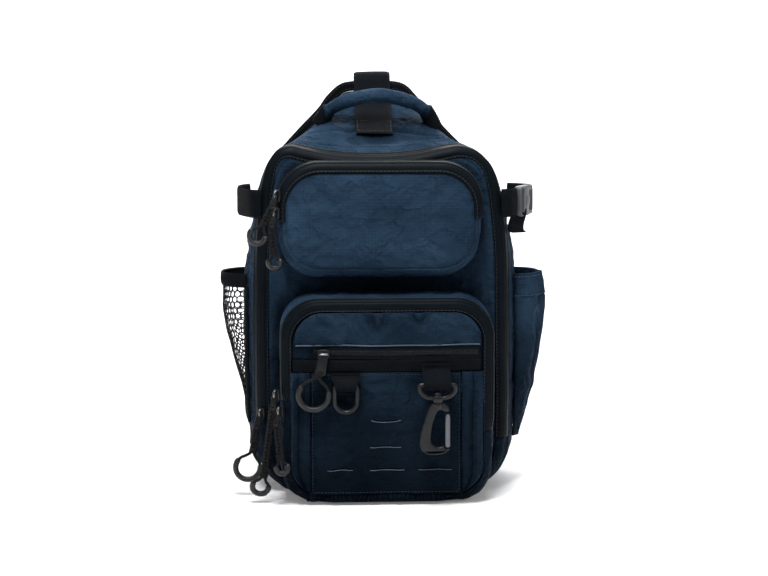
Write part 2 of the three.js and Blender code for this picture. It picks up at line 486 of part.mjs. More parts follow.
add('ring_tab', foldedTab(RING.x, 14.4, RING.y, RING.z, RING.wire, 116.9, 112.6), BLACK);
{
  const { x, y, z, width: w, height: h, wire: r } = RING, hw = w / 2 - r, drop = h - 2 * r;
  const pts = [];
  for (let i = 0; i <= 3; i++) pts.push(V(lerp(x - hw + 1.6, x + hw - 1.6, i / 3), y, z));
  pts.push(V(x + hw, y, z - 2));
  for (let i = 0; i <= 8; i++) { const a = -(i / 8) * Math.PI; pts.push(V(x + hw * Math.cos(a), y, z - drop + hw + hw * Math.sin(a) - 0.4)); }
  pts.push(V(x - hw, y, z - 2));
  add('d_ring', tube(pts, r, 8, true), PLASTIC);
}
const HOOK = { barZ: 108, loopWidth: 34.4, loopHeight: 15.5, wire: 2.1 };
add('hook_tab', foldedTab(HOOK_X, 24.4, HOOK_Y, HOOK.barZ, HOOK.wire, 124.5, 118), BLACK);
{
  const { barZ, loopWidth: w, loopHeight: h, wire: r } = HOOK, hw = w / 2 - r;
  const low = barZ - h + 2 * r;
  const pts = [V(HOOK_X - hw + 1.5, HOOK_Y, barZ), V(HOOK_X, HOOK_Y, barZ), V(HOOK_X + hw - 1.5, HOOK_Y, barZ), V(HOOK_X + hw, HOOK_Y, barZ - 2),
    V(HOOK_X + hw - 0.8, HOOK_Y, barZ - 6), V(HOOK_X + hw - 5, HOOK_Y, low + 1.4), V(HOOK_X + 5, HOOK_Y, low), V(HOOK_X - 5, HOOK_Y, low),
    V(HOOK_X - hw + 5, HOOK_Y, low + 1.4), V(HOOK_X - hw + 0.8, HOOK_Y, barZ - 6), V(HOOK_X - hw, HOOK_Y, barZ - 2)];
  const boss = new THREE.CylinderGeometry(4.6, 4.6, 6, 16); boss.rotateX(Math.PI / 2); boss.translate(HOOK_X, HOOK_Y, low - 0.5);
  const hole = new THREE.CylinderGeometry(2.1, 2.1, 12, 16); hole.rotateX(Math.PI / 2); hole.translate(HOOK_X, HOOK_Y, low - 0.5);
  add('hook_loop', cut(join(tube(pts, r, 8, true), boss), hole), PLASTIC);
}
{
  // Body: swivel pin with a head above the boss, neck, and a long open ring
  const low = HOOK.barZ - HOOK.loopHeight + 2 * HOOK.wire - 0.5;
  const pinProfile = [[0, low + 5.4], [3.2, low + 5.4], [3.6, low + 4.2], [3.6, low + 3.3], [1.75, low + 3.3], [1.75, low - 3.4], [4.6, low - 3.4], [4.9, low - 6.5], [3.6, low - 9.5], [0, low - 9.5]]
    .map(([r, z]) => new THREE.Vector2(r, z)).reverse();
  const pin = new THREE.LatheGeometry(pinProfile, 14); pin.rotateX(Math.PI / 2); pin.translate(HOOK_X, HOOK_Y, 0);
  const out = new THREE.Shape(), top = low - 5.2, bottom = 47.5, L = HOOK_X - 15.2, R = HOOK_X + 12.2;
  out.moveTo(HOOK_X - 4, top);
  out.bezierCurveTo(L + 3, top - 2, L, top - 12, L, top - 22);
  out.lineTo(L, bottom + 13);
  out.bezierCurveTo(L, bottom - 4, R, bottom - 4, R, bottom + 13);
  out.lineTo(R, top - 18);
  out.bezierCurveTo(R, top - 8, HOOK_X + 8, top - 2, HOOK_X + 4, top);
  out.closePath();
  const inn = new THREE.Path(), l = L + 7.6, r = R - 6.4;
  inn.moveTo(l, bottom + 14); inn.lineTo(l, top - 16);
  inn.bezierCurveTo(l, top - 3.4, r, top - 3.4, r, top - 10);
  inn.lineTo(r, bottom + 14);
  inn.bezierCurveTo(r, bottom + 5.5, l, bottom + 5.5, l, bottom + 14);
  out.holes.push(inn);
  const body = plate(out, HOOK_Y + 3.4, 6.8, 6);
  const gateCut = block(R - 3.4, HOOK_Y, 70.65, 8.4, 12, 29.5);
  const seat = new THREE.CylinderGeometry(3.1, 3.1, 4.4, 16); seat.translate(R - 3.4, HOOK_Y, 55.8);
  add('hook_body', cut(join(body, pin), gateCut, seat), PLASTIC);
  // Gate: sprung metal lever, pivoted at its lower end, opens inwards
  const gate = new THREE.Shape(), gx = R - 3.4, g0 = 55.8, g1 = 84;
  gate.absarc(gx, g0, 2.1, Math.PI, 2 * Math.PI);
  gate.lineTo(gx + 2.1, g1 - 1.5); gate.absarc(gx + 0.6, g1 - 1.5, 1.5, 0, Math.PI / 2);
  gate.lineTo(gx - 0.6, g1); gate.absarc(gx - 0.6, g1 - 1.5, 1.5, Math.PI / 2, Math.PI);
  gate.lineTo(gx - 2.1, g0);
  add('hook_gate', plate(gate, HOOK_Y + 1.9, 3.8, 5), STEEL);
}

// ---------------------------------------------------------------- zip sliders and pulls
// Slider body, then a pull: a loop that hangs from the slider's eye, thin cord
// above and a thicker moulded grip round its lower part.
const PULLS = [
  { name: 'slip', at: V(-55, -97.2, 133.8), size: [11, 4, 9], eye: V(-58, -101.5, 122), ring: V(-65, -101.5, 99.5), radius: 11.6 },
  { name: 'upper_a', at: V(-93.8, -72.5, 268), size: [6, 7, 12], eye: V(-98.6, -76, 262), ring: V(-112, -74, 233), radius: 7.2 },
  { name: 'upper_b', at: V(-94.8, -72.9, 252.6), size: [6, 7, 12], eye: V(-98.6, -77, 246), ring: V(-97, -70, 209), radius: 5 },
  { name: 'main', at: V(-109.4, -47.8, 73), size: [9, 7, 15], eye: V(-113.5, -53, 64), ring: V(-121.5, -53, 23), radius: 11.2 },
  { name: 'lower_a', at: V(-95.4, -91.4, 97.6), size: [7, 7, 11], eye: V(-98.6, -95.6, 89), ring: V(-110.5, -80, 12.6), radius: 7.4 },
  { name: 'lower_b', at: V(-92.2, -90.4, 82.6), size: [7, 7, 11], eye: V(-96, -95, 75), ring: V(-91, -94.6, 33), radius: 5.2 },
];
const CORD_R = 1.3, GRIP_R = 2.5;
for (const p of PULLS) {
  const [sx, sy, sz] = p.size;
  const m = add('slider_' + p.name, new THREE.CylinderGeometry(sx * 0.5, sx * 0.5, sz, 8), PLASTIC);
  m.scale.set(1, 1, sy / sx); m.rotation.set(Math.PI / 2, 0, 0); m.position.copy(p.at);
  const down = p.ring.clone().sub(p.eye), dist = down.length(); down.normalize();
  const side = V(0, 1, 0).cross(down).normalize();
  const pts = [];
  for (let i = 0; i < 20; i++) {
    // teardrop: round at the ring, drawn to a narrow eye at the slider
    const a = (i / 20) * 2 * Math.PI, c = Math.cos(a), s = Math.sin(a);
    const along = c > 0 ? c * dist : c * p.radius, width = c > 0 ? s * (p.radius * (1 - c) + 1.9 * c) : s * p.radius;
    pts.push(p.ring.clone().addScaledVector(down, -along).addScaledVector(side, width));
  }
  add('pull_' + p.name, tube(pts, (t) => (Math.cos(t * 2 * Math.PI) > 0.25 ? CORD_R : GRIP_R), 6, true), RUBBER);
}

// ---------------------------------------------------------------- shoulder sling on the back
{
  const s = new THREE.Shape();
  s.moveTo(-24, 338); s.lineTo(10, 338);
  s.bezierCurveTo(26, 320, 30, 290, 28, 255); s.bezierCurveTo(26, 215, 20, 180, 12, 160);
  s.lineTo(-18, 160);
  s.bezierCurveTo(-34, 190, -42, 220, -42, 255); s.bezierCurveTo(-42, 290, -38, 320, -24, 338);
  add('sling_pad', plate(s, 66.6, 9, 5), BLACK);
}
const SLING_WEB = [V(-5, 62, 150), V(4, 61.6, 136), V(18, 57, 118), V(40, 54.4, 84), V(66, 54.2, 46), V(82, 54.2, 24)];
add('sling_web', ribbon(smooth(SLING_WEB, 12), V(0.83, 0, 0.56), WEB25, WEB_T), BLACK);
{
  const m = add('sling_adjuster', new THREE.BoxGeometry(34, 3.4, 22), PLASTIC);
  m.position.set(46, 58.6, 74.6);
  m.rotation.set(0, -0.6, 0);
}

// Origin at the bottom centre of the whole bag
group.updateMatrixWorld(true);
const bounds = new THREE.Box3().setFromObject(group);
group.position.set(-(bounds.min.x + bounds.max.x) / 2, -(bounds.min.y + bounds.max.y) / 2, -bounds.min.z);
group.updateMatrixWorld(true);

export default group;
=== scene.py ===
import math

import bpy
import numpy as np
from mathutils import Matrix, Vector
from mathutils.geometry import tessellate_polygon


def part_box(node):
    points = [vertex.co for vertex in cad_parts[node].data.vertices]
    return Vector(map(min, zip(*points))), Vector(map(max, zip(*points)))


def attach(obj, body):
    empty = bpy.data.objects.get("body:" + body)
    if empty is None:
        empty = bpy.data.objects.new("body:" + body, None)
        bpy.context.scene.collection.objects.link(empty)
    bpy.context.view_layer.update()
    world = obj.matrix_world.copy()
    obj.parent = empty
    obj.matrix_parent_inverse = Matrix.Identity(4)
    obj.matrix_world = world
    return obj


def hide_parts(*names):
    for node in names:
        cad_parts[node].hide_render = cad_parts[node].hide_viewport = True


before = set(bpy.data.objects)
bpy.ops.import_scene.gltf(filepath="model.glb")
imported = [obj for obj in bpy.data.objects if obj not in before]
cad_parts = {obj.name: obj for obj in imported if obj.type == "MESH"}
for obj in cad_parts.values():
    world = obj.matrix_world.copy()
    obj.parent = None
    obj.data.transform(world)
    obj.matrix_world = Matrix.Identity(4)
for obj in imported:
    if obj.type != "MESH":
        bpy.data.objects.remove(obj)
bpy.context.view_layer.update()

# Everything below is worked out in millimetres in the drawing's own axes, and
# SH moves it into the row frame. The webbing strip's corner gives the shift.
_lo, _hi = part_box("webbing_strip")
SH = np.array([_lo.x * 1000 + 80.0, _hi.y * 1000 + 92.0, _lo.z * 1000 - 117.2])


def to_m(p):
    return (np.asarray(p, float) + SH) / 1000.0


# ------------------------------------------------------------------ camera and light
def make_camera():
    az, el, dist, focal_px = math.radians(-3.0), math.radians(7.0), 1600.0, 1758.0
    target = np.array([2.0, 0.0, 178.5])
    back = np.array([math.sin(az) * math.cos(el), -math.cos(az) * math.cos(el), math.sin(el)])
    cam = bpy.data.cameras.new("camera")
    cam.sensor_width = 36.0
    cam.lens = focal_px * 36.0 / 768.0
    cam.clip_start, cam.clip_end = 0.05, 50
    ob = bpy.data.objects.new("camera", cam)
    bpy.context.scene.collection.objects.link(ob)
    ob.location = to_m(target + back * dist)
    ob.rotation_mode = "QUATERNION"
    ob.rotation_quaternion = Vector(-back).to_track_quat("-Z", "Y")
    bpy.context.scene.camera = ob


make_camera()


# ------------------------------------------------------------------ noise
def _hash(ix, iy, iz, seed):
    n = (ix * 374761393 + iy * 668265263 + iz * 1440670441 + seed * 974634777) & 0xFFFFFFFF
    n = ((n ^ (n >> 13)) * 1274126177) & 0xFFFFFFFF
    n = ((n ^ (n >> 15)) * 461845907) & 0xFFFFFFFF
    return ((n ^ (n >> 16)) & 0xFFFFFF) / float(0xFFFFFF) * 2 - 1


def vnoise(p, seed=0):
    p = np.asarray(p, float)
    i = np.floor(p).astype(np.int64)
    f = p - i
    w = f * f * f * (f * (f * 6 - 15) + 10)
    out = 0
    for dx in (0, 1):
        wx = w[..., 0] if dx else 1 - w[..., 0]
        for dy in (0, 1):
            wy = w[..., 1] if dy else 1 - w[..., 1]
            for dz in (0, 1):
                wz = w[..., 2] if dz else 1 - w[..., 2]
                out = out + wx * wy * wz * _hash(i[..., 0] + dx, i[..., 1] + dy, i[..., 2] + dz, seed)
    return out


def fbm(p, size, octaves=3, seed=0, gain=0.5):
    p = np.asarray(p, float) / np.asarray(size, float)
    total, amp = 0, 1.0
    for o in range(octaves):
        total = total + amp * vnoise(p * 2**o + 17.3 * o, seed + o)
        amp *= gain
    return total


def ridge(p, size, seed=0, sharp=2.0, octaves=2):
    return (1 - np.abs(fbm(p, size, octaves, seed))).clip(0, 1) ** sharp


def smooth01(x, a, b):
    t = np.clip((x - a) / (b - a), 0, 1)
    return t * t * (3 - 2 * t)


def creases(P, rows):
    """Soft folds on a surface seen from the front: each row is a line in x, z with a width and a depth."""
    x, z = P[..., 0], P[..., 2]
    h = np.zeros(x.shape)
    for x0, z0, x1, z1, width, depth in rows:
        dx, dz = x1 - x0, z1 - z0
        L2 = dx * dx + dz * dz
        t = ((x - x0) * dx + (z - z0) * dz) / L2
        tc = np.clip(t, 0, 1)
        d = np.hypot(x - x0 - tc * dx, z - z0 - tc * dz)
        taper = np.sin(np.pi * np.clip(t, 0.02, 0.98)) ** 0.7
        h += -depth * np.exp(-((d / width) ** 2)) * taper + 0.45 * depth * np.exp(-(((d - 1.9 * width) / width) ** 2)) * taper
    return h


# ------------------------------------------------------------------ meshes
def new_mesh(name, verts, faces, mat=None, uv=None, smooth=True):
    me = bpy.data.meshes.new(name)
    me.from_pydata(to_m(verts).tolist(), [], [list(map(int, f)) for f in faces])
    if uv is not None:
        layer = me.uv_layers.new(name="UVMap")
        idx = np.zeros(len(me.loops), np.int64)
        me.loops.foreach_get("vertex_index", idx)
        layer.data.foreach_set("uv", np.asarray(uv, np.float32)[idx].ravel())
    me.update()
    if smooth:
        me.polygons.foreach_set("use_smooth", [True] * len(me.polygons))
    ob = bpy.data.objects.new(name, me)
    bpy.context.scene.collection.objects.link(ob)
    if mat is not None:
        me.materials.append(mat)
    return ob


def grid_faces(nj, ni, closed_i=False, closed_j=False, off=0):
    j = np.arange(nj if closed_j else nj - 1)
    i = np.arange(ni if closed_i else ni - 1)
    J, I = np.meshgrid(j, i, indexing="ij")
    J2, I2 = (J + 1) % nj, (I + 1) % ni
    return (np.stack([J * ni + I, J * ni + I2, J2 * ni + I2, J2 * ni + I], -1).reshape(-1, 4) + off).tolist()


def grid_uv(P):
    """Lengths along the rows and columns of a grid, in millimetres."""
    du = np.linalg.norm(np.diff(P, axis=1), axis=2)
    dv = np.linalg.norm(np.diff(P, axis=0), axis=2)
    u = np.concatenate([np.zeros((P.shape[0], 1)), np.cumsum(du, 1)], 1)
    v = np.concatenate([np.zeros((1, P.shape[1])), np.cumsum(dv, 0)], 0)
    return np.stack([u, v], -1)


def normals(P, ref, closed_i=False):
    """Unit normals of a grid of points, pointing away from ref."""
    if closed_i:
        du = np.roll(P, -1, 1) - np.roll(P, 1, 1)
    else:
        du = np.gradient(P, axis=1)
    dv = np.gradient(P, axis=0)
    n = np.cross(du, dv)
    ln = np.linalg.norm(n, axis=2, keepdims=True)
    n = n / np.where(ln < 1e-9, 1, ln)
    side = np.sign(np.median(np.sum(n * (P - np.asarray(ref, float)), axis=2)))
    return n * (side if side != 0 else 1)


def outward(ob, ref):
    """Turns the faces so that they look away from ref (mm)."""
    me = ob.data
    c = np.zeros(len(me.polygons) * 3)
    me.polygons.foreach_get("center", c)
    n = np.zeros(len(me.polygons) * 3)
    me.polygons.foreach_get("normal", n)
    a = np.zeros(len(me.polygons))
    me.polygons.foreach_get("area", a)
    d = (c.reshape(-1, 3) - to_m(ref)) * n.reshape(-1, 3)
    if (d.sum(1) * a).sum() < 0:
        me.flip_normals()


def sheet_obj(name, P, mat, ref, thick=1.6, closed_i=False, uv=True, sub=0):
    nj, ni = P.shape[:2]
    ob = new_mesh(name, P.reshape(-1, 3), grid_faces(nj, ni, closed_i), mat, grid_uv(P).reshape(-1, 2) if uv else None)
    outward(ob, ref)
    if thick:
        m = ob.modifiers.new("thickness", "SOLIDIFY")
        m.thickness = thick / 1000
        m.offset = -1
    if sub:
        s = ob.modifiers.new("sub", "SUBSURF")
        s.levels = s.render_levels = sub
    return ob


def apply_mods(ob):
    dg = bpy.context.evaluated_depsgraph_get()
    me = bpy.data.meshes.new_from_object(ob.evaluated_get(dg))
    old = ob.data
    ob.modifiers.clear()
    ob.data = me
    bpy.data.meshes.remove(old)
    return ob


def join_obs(name, obs):
    keep = obs[0]
    with bpy.context.temp_override(active_object=keep, selected_editable_objects=obs, selected_objects=obs):
        bpy.ops.object.join()
    keep.name = name
    keep.data.name = name
    return keep


def piece(ob, *nodes, body="bag", slot=None, padded=None):
    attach(ob, body)
    if nodes:
        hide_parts(*nodes)
    return ob


def frames_along(path, closed=False, up=(0, 0, 1)):
    P = np.asarray(path, float)
    T = (np.roll(P, -1, 0) - np.roll(P, 1, 0)) if closed else np.gradient(P, axis=0)
    T /= np.linalg.norm(T, axis=1, keepdims=True)
    up = np.asarray(up, float)
    if up.ndim == 1:
        up = np.repeat(up[None], len(P), 0)
    S = np.cross(T, up)
    S /= np.linalg.norm(S, axis=1, keepdims=True)
    U = np.cross(S, T)
    return T, S, U


def tube_data(path, radius, sides=12, closed=False, up=(0, 0, 1), flat=1.0):
    P = np.asarray(path, float)
    n = len(P)
    r = np.broadcast_to(np.asarray(radius, float), (n,))
    T, S, U = frames_along(P, closed, up)
    a = np.arange(sides) / sides * 2 * np.pi
    V = P[:, None] + r[:, None, None] * (np.cos(a)[None, :, None] * S[:, None] + flat * np.sin(a)[None, :, None] * U[:, None])
    V = V.reshape(-1, 3)
    F = grid_faces(n, sides, True, closed)
    if not closed:
        F.append(list(range(sides))[::-1])
        F.append([(n - 1) * sides + k for k in range(sides)])
    return V, F


def tube_obj(name, path, radius, mat, sides=12, closed=False, up=(0, 0, 1), flat=1.0):
    V, F = tube_data(path, radius, sides, closed, up, flat)
    ob = new_mesh(name, V, F, mat)
    if closed is False:
        pass
    me = ob.data
    me.validate()
    return fix_normals(ob)


def fix_normals(ob):
    import bmesh
    bm = bmesh.new()
    bm.from_mesh(ob.data)
    bmesh.ops.recalc_face_normals(bm, faces=bm.faces)
    bm.to_mesh(ob.data)
    bm.free()
    return ob


def catmull(points, n, closed=False):
    pts = np.asarray(points, float)
    if closed:
        k = np.arange(n) / n * len(pts)
        return cr(pts, k)
    m = len(pts)
    ext = np.vstack([2 * pts[0] - pts[1], pts, 2 * pts[-1] - pts[-2]])
    k = np.linspace(0, m - 1 - 1e-9, n)
    i = np.floor(k).astype(int)
    w = (k - i)[:, None]
    p0, p1, p2, p3 = ext[i], ext[i + 1], ext[i + 2], ext[i + 3]
    t0, t1 = (p2 - p0) * 0.5, (p3 - p1) * 0.5
    return (2 * p1 - 2 * p2 + t0 + t1) * w**3 + (-3 * p1 + 3 * p2 - 2 * t0 - t1) * w**2 + t0 * w + p1


def even(path, n, closed=False):
    """The same path with evenly spaced points."""
    P = np.asarray(path, float)
    Q = np.vstack([P, P[:1]]) if closed else P
    s = np.concatenate([[0], np.cumsum(np.linalg.norm(np.diff(Q, axis=0), axis=1))])
    t = np.linspace(0, s[-1], n + 1)[:-1] if closed else np.linspace(0, s[-1], n)
    return np.stack([np.interp(t, s, Q[:, a]) for a in range(3)], 1)


def cr(pts, k):
    k = np.asarray(k, float)
    n = len(pts)
    i = np.floor(k).astype(int)
    w = (k - i)[..., None]
    p0, p1, p2, p3 = pts[(i - 1) % n], pts[i % n], pts[(i + 1) % n], pts[(i + 2) % n]
    t0, t1 = (p2 - p0) * 0.5, (p3 - p1) * 0.5
    return (2 * p1 - 2 * p2 + t0 + t1) * w**3 + (-3 * p1 + 3 * p2 - 2 * t0 - t1) * w**2 + t0 * w + p1


def capsules(name, centres, along, up, length, radius, mat, flat=0.7):
    """Many small stitches or teeth as one mesh: each a rounded bar at a centre."""
    C, A, U = (np.asarray(v, float) for v in (centres, along, up))
    A = A / np.linalg.norm(A, axis=1, keepdims=True)
    S = np.cross(A, U)
    S /= np.linalg.norm(S, axis=1, keepdims=True)
    U = np.cross(S, A)
    prof = [(-0.5, 0.4), (-0.28, 1.0), (0.28, 1.0), (0.5, 0.4)]
    sides = 5
    a = np.arange(sides) / sides * 2 * np.pi
    rows = []
    for t, r in prof:
        rows.append(C[:, None] + A[:, None] * (t * length) + r * radius * (np.cos(a)[None, :, None] * S[:, None] + flat * np.sin(a)[None, :, None] * U[:, None]))
    V = np.stack(rows, 1).reshape(-1, 3)
    one = grid_faces(len(prof), sides, True)
    one += [list(range(sides))[::-1], [(len(prof) - 1) * sides + k for k in range(sides)]]
    per = len(prof) * sides
    F = [[v + c * per for v in f] for c in range(len(C)) for f in one]
    return fix_normals(new_mesh(name, V, F, mat))


def stitch_rows(rows, pitch=3.4, fill=0.72):
    """Centres, directions and normals of stitches along paths: rows of (path, normals)."""
    C, A, U = [], [], []
    for path, nrm in rows:
        P, N = np.asarray(path, float), np.asarray(nrm, float)
        s = np.concatenate([[0], np.cumsum(np.linalg.norm(np.diff(P, axis=0), axis=1))])
        n = max(int(s[-1] / pitch), 1)
        t = (np.arange(n) + 0.5) * s[-1] / n
        e = s[-1] / n * fill / 2
        at = lambda q: np.stack([np.interp(q, s, P[:, a]) for a in range(3)], 1)
        C.append(at(t))
        A.append(at(t + e) - at(t - e))
        U.append(np.stack([np.interp(t, s, N[:, a]) for a in range(3)], 1))
    return np.vstack(C), np.vstack(A), np.vstack(U)


def stitches(name, rows, mat, pitch=3.4, radius=0.33, lift=0.1, body="bag"):
    C, A, U = stitch_rows(rows, pitch)
    U = U / np.linalg.norm(U, axis=1, keepdims=True)
    return piece(capsules(name, C + U * lift, A, U, pitch * 0.74, radius, mat), body=body)


# ------------------------------------------------------------------ materials
def principled(name, color, rough=0.6, metal=0.0, spec=0.5, sheen=0.0, coat=0.0):
    m = bpy.data.materials.new(name)
    m.use_nodes = True
    b = m.node_tree.nodes["Principled BSDF"]
    b.inputs["Base Color"].default_value = (*color, 1)
    b.inputs["Roughness"].default_value = rough
    b.inputs["Metallic"].default_value = metal
    b.inputs["Specular IOR Level"].default_value = spec
    if sheen:
        b.inputs["Sheen Weight"].default_value = sheen
        b.inputs["Sheen Roughness"].default_value = 0.45
        b.inputs["Sheen Tint"].default_value = (0.55, 0.68, 1.0, 1)
    if coat:
        b.inputs["Coat Weight"].default_value = coat
        b.inputs["Coat Roughness"].default_value = 0.25
    return m, m.node_tree, b


def node(nt, kind, **vals):
    n = nt.nodes.new(kind)
    for k, v in vals.items():
        if k in n.inputs:
            n.inputs[k].default_value = v
        else:
            setattr(n, k, v)
    return n


def math_node(nt, op, a, b=None, c=None):
    n = nt.nodes.new("ShaderNodeMath")
    n.operation = op
    for i, v in enumerate((a, b, c)):
        if v is None:
            continue
        if hasattr(v, "is_output"):
            nt.links.new(v, n.inputs[i])
        else:
            n.inputs[i].default_value = v
    return n.outputs[0]


def coords(nt):
    tc = nt.nodes.new("ShaderNodeTexCoord")
    sep = nt.nodes.new("ShaderNodeSeparateXYZ")
    nt.links.new(tc.outputs["Object"], sep.inputs[0])
    return tc, sep


def lattice(nt, pitch, sharp):
    """Raised threads along two directions, on any surface: lines of each axis fade where the surface faces that axis."""
    tc, sep = coords(nt)
    geo = nt.nodes.new("ShaderNodeNewGeometry")
    nsep = nt.nodes.new("ShaderNodeSeparateXYZ")
    nt.links.new(geo.outputs["Normal"], nsep.inputs[0])
    total = None
    for ax in range(3):
        wave = math_node(nt, "SINE", math_node(nt, "MULTIPLY", sep.outputs[ax], 2 * math.pi / pitch))
        line = math_node(nt, "POWER", math_node(nt, "MULTIPLY_ADD", wave, 0.5, 0.5), sharp)
        face = math_node(nt, "SUBTRACT", 1.0, math_node(nt, "POWER", math_node(nt, "ABSOLUTE", nsep.outputs[ax]), 1.5))
        term = math_node(nt, "MULTIPLY", line, face)
        total = term if total is None else math_node(nt, "MAXIMUM", total, term)
    return tc, total


def ramp(nt, fac, stops):
    r = nt.nodes.new("ShaderNodeValToRGB")
    el = r.color_ramp.elements
    while len(el) < len(stops):
        el.new(0.5)
    for e, (pos, col) in zip(el, stops):
        e.position = pos
        e.color = (*col, 1) if len(col) == 3 else col
    nt.links.new(fac, r.inputs[0])
    return r.outputs[0]


def noise_out(nt, tc, scale, detail=3.0, rough=0.5, out="Fac"):
    n = nt.nodes.new("ShaderNodeTexNoise")
    n.inputs["Scale"].default_value = scale
    n.inputs["Detail"].default_value = detail
    n.inputs["Roughness"].default_value = rough
    nt.links.new(tc.outputs["Object"], n.inputs["Vector"])
    return n.outputs[out]


def cloth_material(name, dark, light, pitch=0.0027, rough=0.68, sheen=0.07, spec=0.022):
    m, nt, b = principled(name, light, rough, spec=spec, sheen=sheen)
    tc, rip = lattice(nt, pitch, 6.0)
    _, weave = lattice(nt, 0.0009, 1.0)
    b.inputs["Sheen Tint"].default_value = (0.22, 0.42, 0.80, 1)
    b.inputs["Sheen Roughness"].default_value = 0.45
    broad = noise_out(nt, tc, 16, 5)
    fine = noise_out(nt, tc, 420, 2)
    mixv = math_node(nt, "ADD", math_node(nt, "MULTIPLY_ADD", broad, 1.7, -0.36), math_node(nt, "MULTIPLY", fine, 0.22))
    mixv = math_node(nt, "ADD", mixv, math_node(nt, "MULTIPLY", rip, 0.10))
    shade = ramp(nt, mixv, [(0.30, dark), (0.95, light)])
    # painted light and shade: the cloth's colour is scaled by height, from 0.22 at the floor to 1.42 above 245 mm,
    # darker towards the bottom and lighter towards the top as if lit from above
    sep2 = nt.nodes.new("ShaderNodeSeparateXYZ")
    nt.links.new(tc.outputs["Object"], sep2.inputs[0])
    painted_height_light = nt.nodes.new("ShaderNodeMapRange")
    painted_height_light.interpolation_type = "SMOOTHSTEP"
    for k_, v_ in (("From Min", 0.0), ("From Max", 0.245), ("To Min", 0.22), ("To Max", 1.42)):
        painted_height_light.inputs[k_].default_value = v_
    nt.links.new(sep2.outputs[2], painted_height_light.inputs["Value"])
    painted_light_and_shade = nt.nodes.new("ShaderNodeVectorMath")
    painted_light_and_shade.operation = "SCALE"
    nt.links.new(shade, painted_light_and_shade.inputs[0])
    # painted shade: ambient occlusion darkens the colour in folds, corners and where parts meet
    painted_ao_node = nt.nodes.new("ShaderNodeAmbientOcclusion")
    painted_ao_node.samples = 6
    painted_ao_node.inputs["Distance"].default_value = 0.016
    painted_cavity_shade = math_node(nt, "MULTIPLY_ADD", math_node(nt, "POWER", painted_ao_node.outputs["AO"], 1.8), 0.88, 0.12)
    nt.links.new(math_node(nt, "MULTIPLY", painted_height_light.outputs[0], painted_cavity_shade), painted_light_and_shade.inputs["Scale"])
    nt.links.new(painted_light_and_shade.outputs[0], b.inputs["Base Color"])
    nt.links.new(math_node(nt, "MULTIPLY_ADD", rip, -0.10, rough + 0.04), b.inputs["Roughness"])
    height = math_node(nt, "ADD", math_node(nt, "MULTIPLY", rip, 0.7), math_node(nt, "MULTIPLY", weave, 0.45))
    height = math_node(nt, "ADD", height, math_node(nt, "MULTIPLY", noise_out(nt, tc, 160, 3), 0.7))
    soft = nt.nodes.new("ShaderNodeBump")
    soft.inputs["Strength"].default_value = 0.75
    soft.inputs["Distance"].default_value = 0.0026
    fold = math_node(nt, "ABSOLUTE", math_node(nt, "MULTIPLY_ADD", noise_out(nt, tc, 34, 3, 0.55), 2.0, -1.0))
    fold = math_node(nt, "POWER", math_node(nt, "SUBTRACT", 1.0, fold), 5.0)
    nt.links.new(math_node(nt, "ADD", fold, math_node(nt, "MULTIPLY", noise_out(nt, tc, 70, 4), 0.9)), soft.inputs["Height"])
    bump = nt.nodes.new("ShaderNodeBump")
    bump.inputs["Strength"].default_value = 0.55
    bump.inputs["Distance"].default_value = 0.00035
    nt.links.new(height, bump.inputs["Height"])
    nt.links.new(soft.outputs[0], bump.inputs["Normal"])
    nt.links.new(bump.outputs[0], b.inputs["Normal"])
    return m


def webbing_material(name, dark, light, rib=0.9, rough=0.7):
    """Ribs across the band, from the length along the band in millimetres held as UV."""
    m, nt, b = principled(name, light, rough, spec=0.04, sheen=0.0)
    uv = nt.nodes.new("ShaderNodeUVMap")
    sep = nt.nodes.new("ShaderNodeSeparateXYZ")
    nt.links.new(uv.outputs[0], sep.inputs[0])
    wave = math_node(nt, "MULTIPLY_ADD", math_node(nt, "SINE", math_node(nt, "MULTIPLY", sep.outputs[0], 2 * math.pi / rib)), 0.5, 0.5)
    cross = math_node(nt, "MULTIPLY_ADD", math_node(nt, "SINE", math_node(nt, "MULTIPLY", sep.outputs[1], 2 * math.pi / 1.7)), 0.5, 0.5)
    weave = math_node(nt, "ADD", math_node(nt, "MULTIPLY", wave, 0.7), math_node(nt, "MULTIPLY", cross, 0.35))
    tc = nt.nodes.new("ShaderNodeTexCoord")
    mixv = math_node(nt, "ADD", math_node(nt, "MULTIPLY", weave, 0.45), math_node(nt, "MULTIPLY", noise_out(nt, tc, 60, 4), 0.6))
    nt.links.new(ramp(nt, mixv, [(0.15, dark), (0.95, light)]), b.inputs["Base Color"])
    bump = nt.nodes.new("ShaderNodeBump")
    bump.inputs["Strength"].default_value = 0.8
    bump.inputs["Distance"].default_value = 0.0004
    nt.links.new(weave, bump.inputs["Height"])
    nt.links.new(bump.outputs[0], b.inputs["Normal"])
    return m


def plain_material(name, color, rough, metal=0.0, spec=0.5, grain=700, bump=0.15, vary=0.25, sheen=0.0, coat=0.0):
    m, nt, b = principled(name, color, rough, metal, spec, sheen, coat)
    tc = nt.nodes.new("ShaderNodeTexCoord")
    n = noise_out(nt, tc, grain, 3)
    big = noise_out(nt, tc, 45, 4)
    mixv = math_node(nt, "ADD", math_node(nt, "MULTIPLY", n, 0.4), math_node(nt, "MULTIPLY", big, 0.6))
    lo = tuple(c * (1 - vary) for c in color)
    hi = tuple(min(c * (1 + vary), 1) for c in color)
    nt.links.new(ramp(nt, mixv, [(0.3, lo), (0.7, hi)]), b.inputs["Base Color"])
    nt.links.new(math_node(nt, "MULTIPLY_ADD", big, 0.18, rough - 0.09), b.inputs["Roughness"])
    bm = nt.nodes.new("ShaderNodeBump")
    bm.inputs["Strength"].default_value = bump
    bm.inputs["Distance"].default_value = 0.0003
    nt.links.new(n, bm.inputs["Height"])
    nt.links.new(bm.outputs[0], b.inputs["Normal"])
    return m


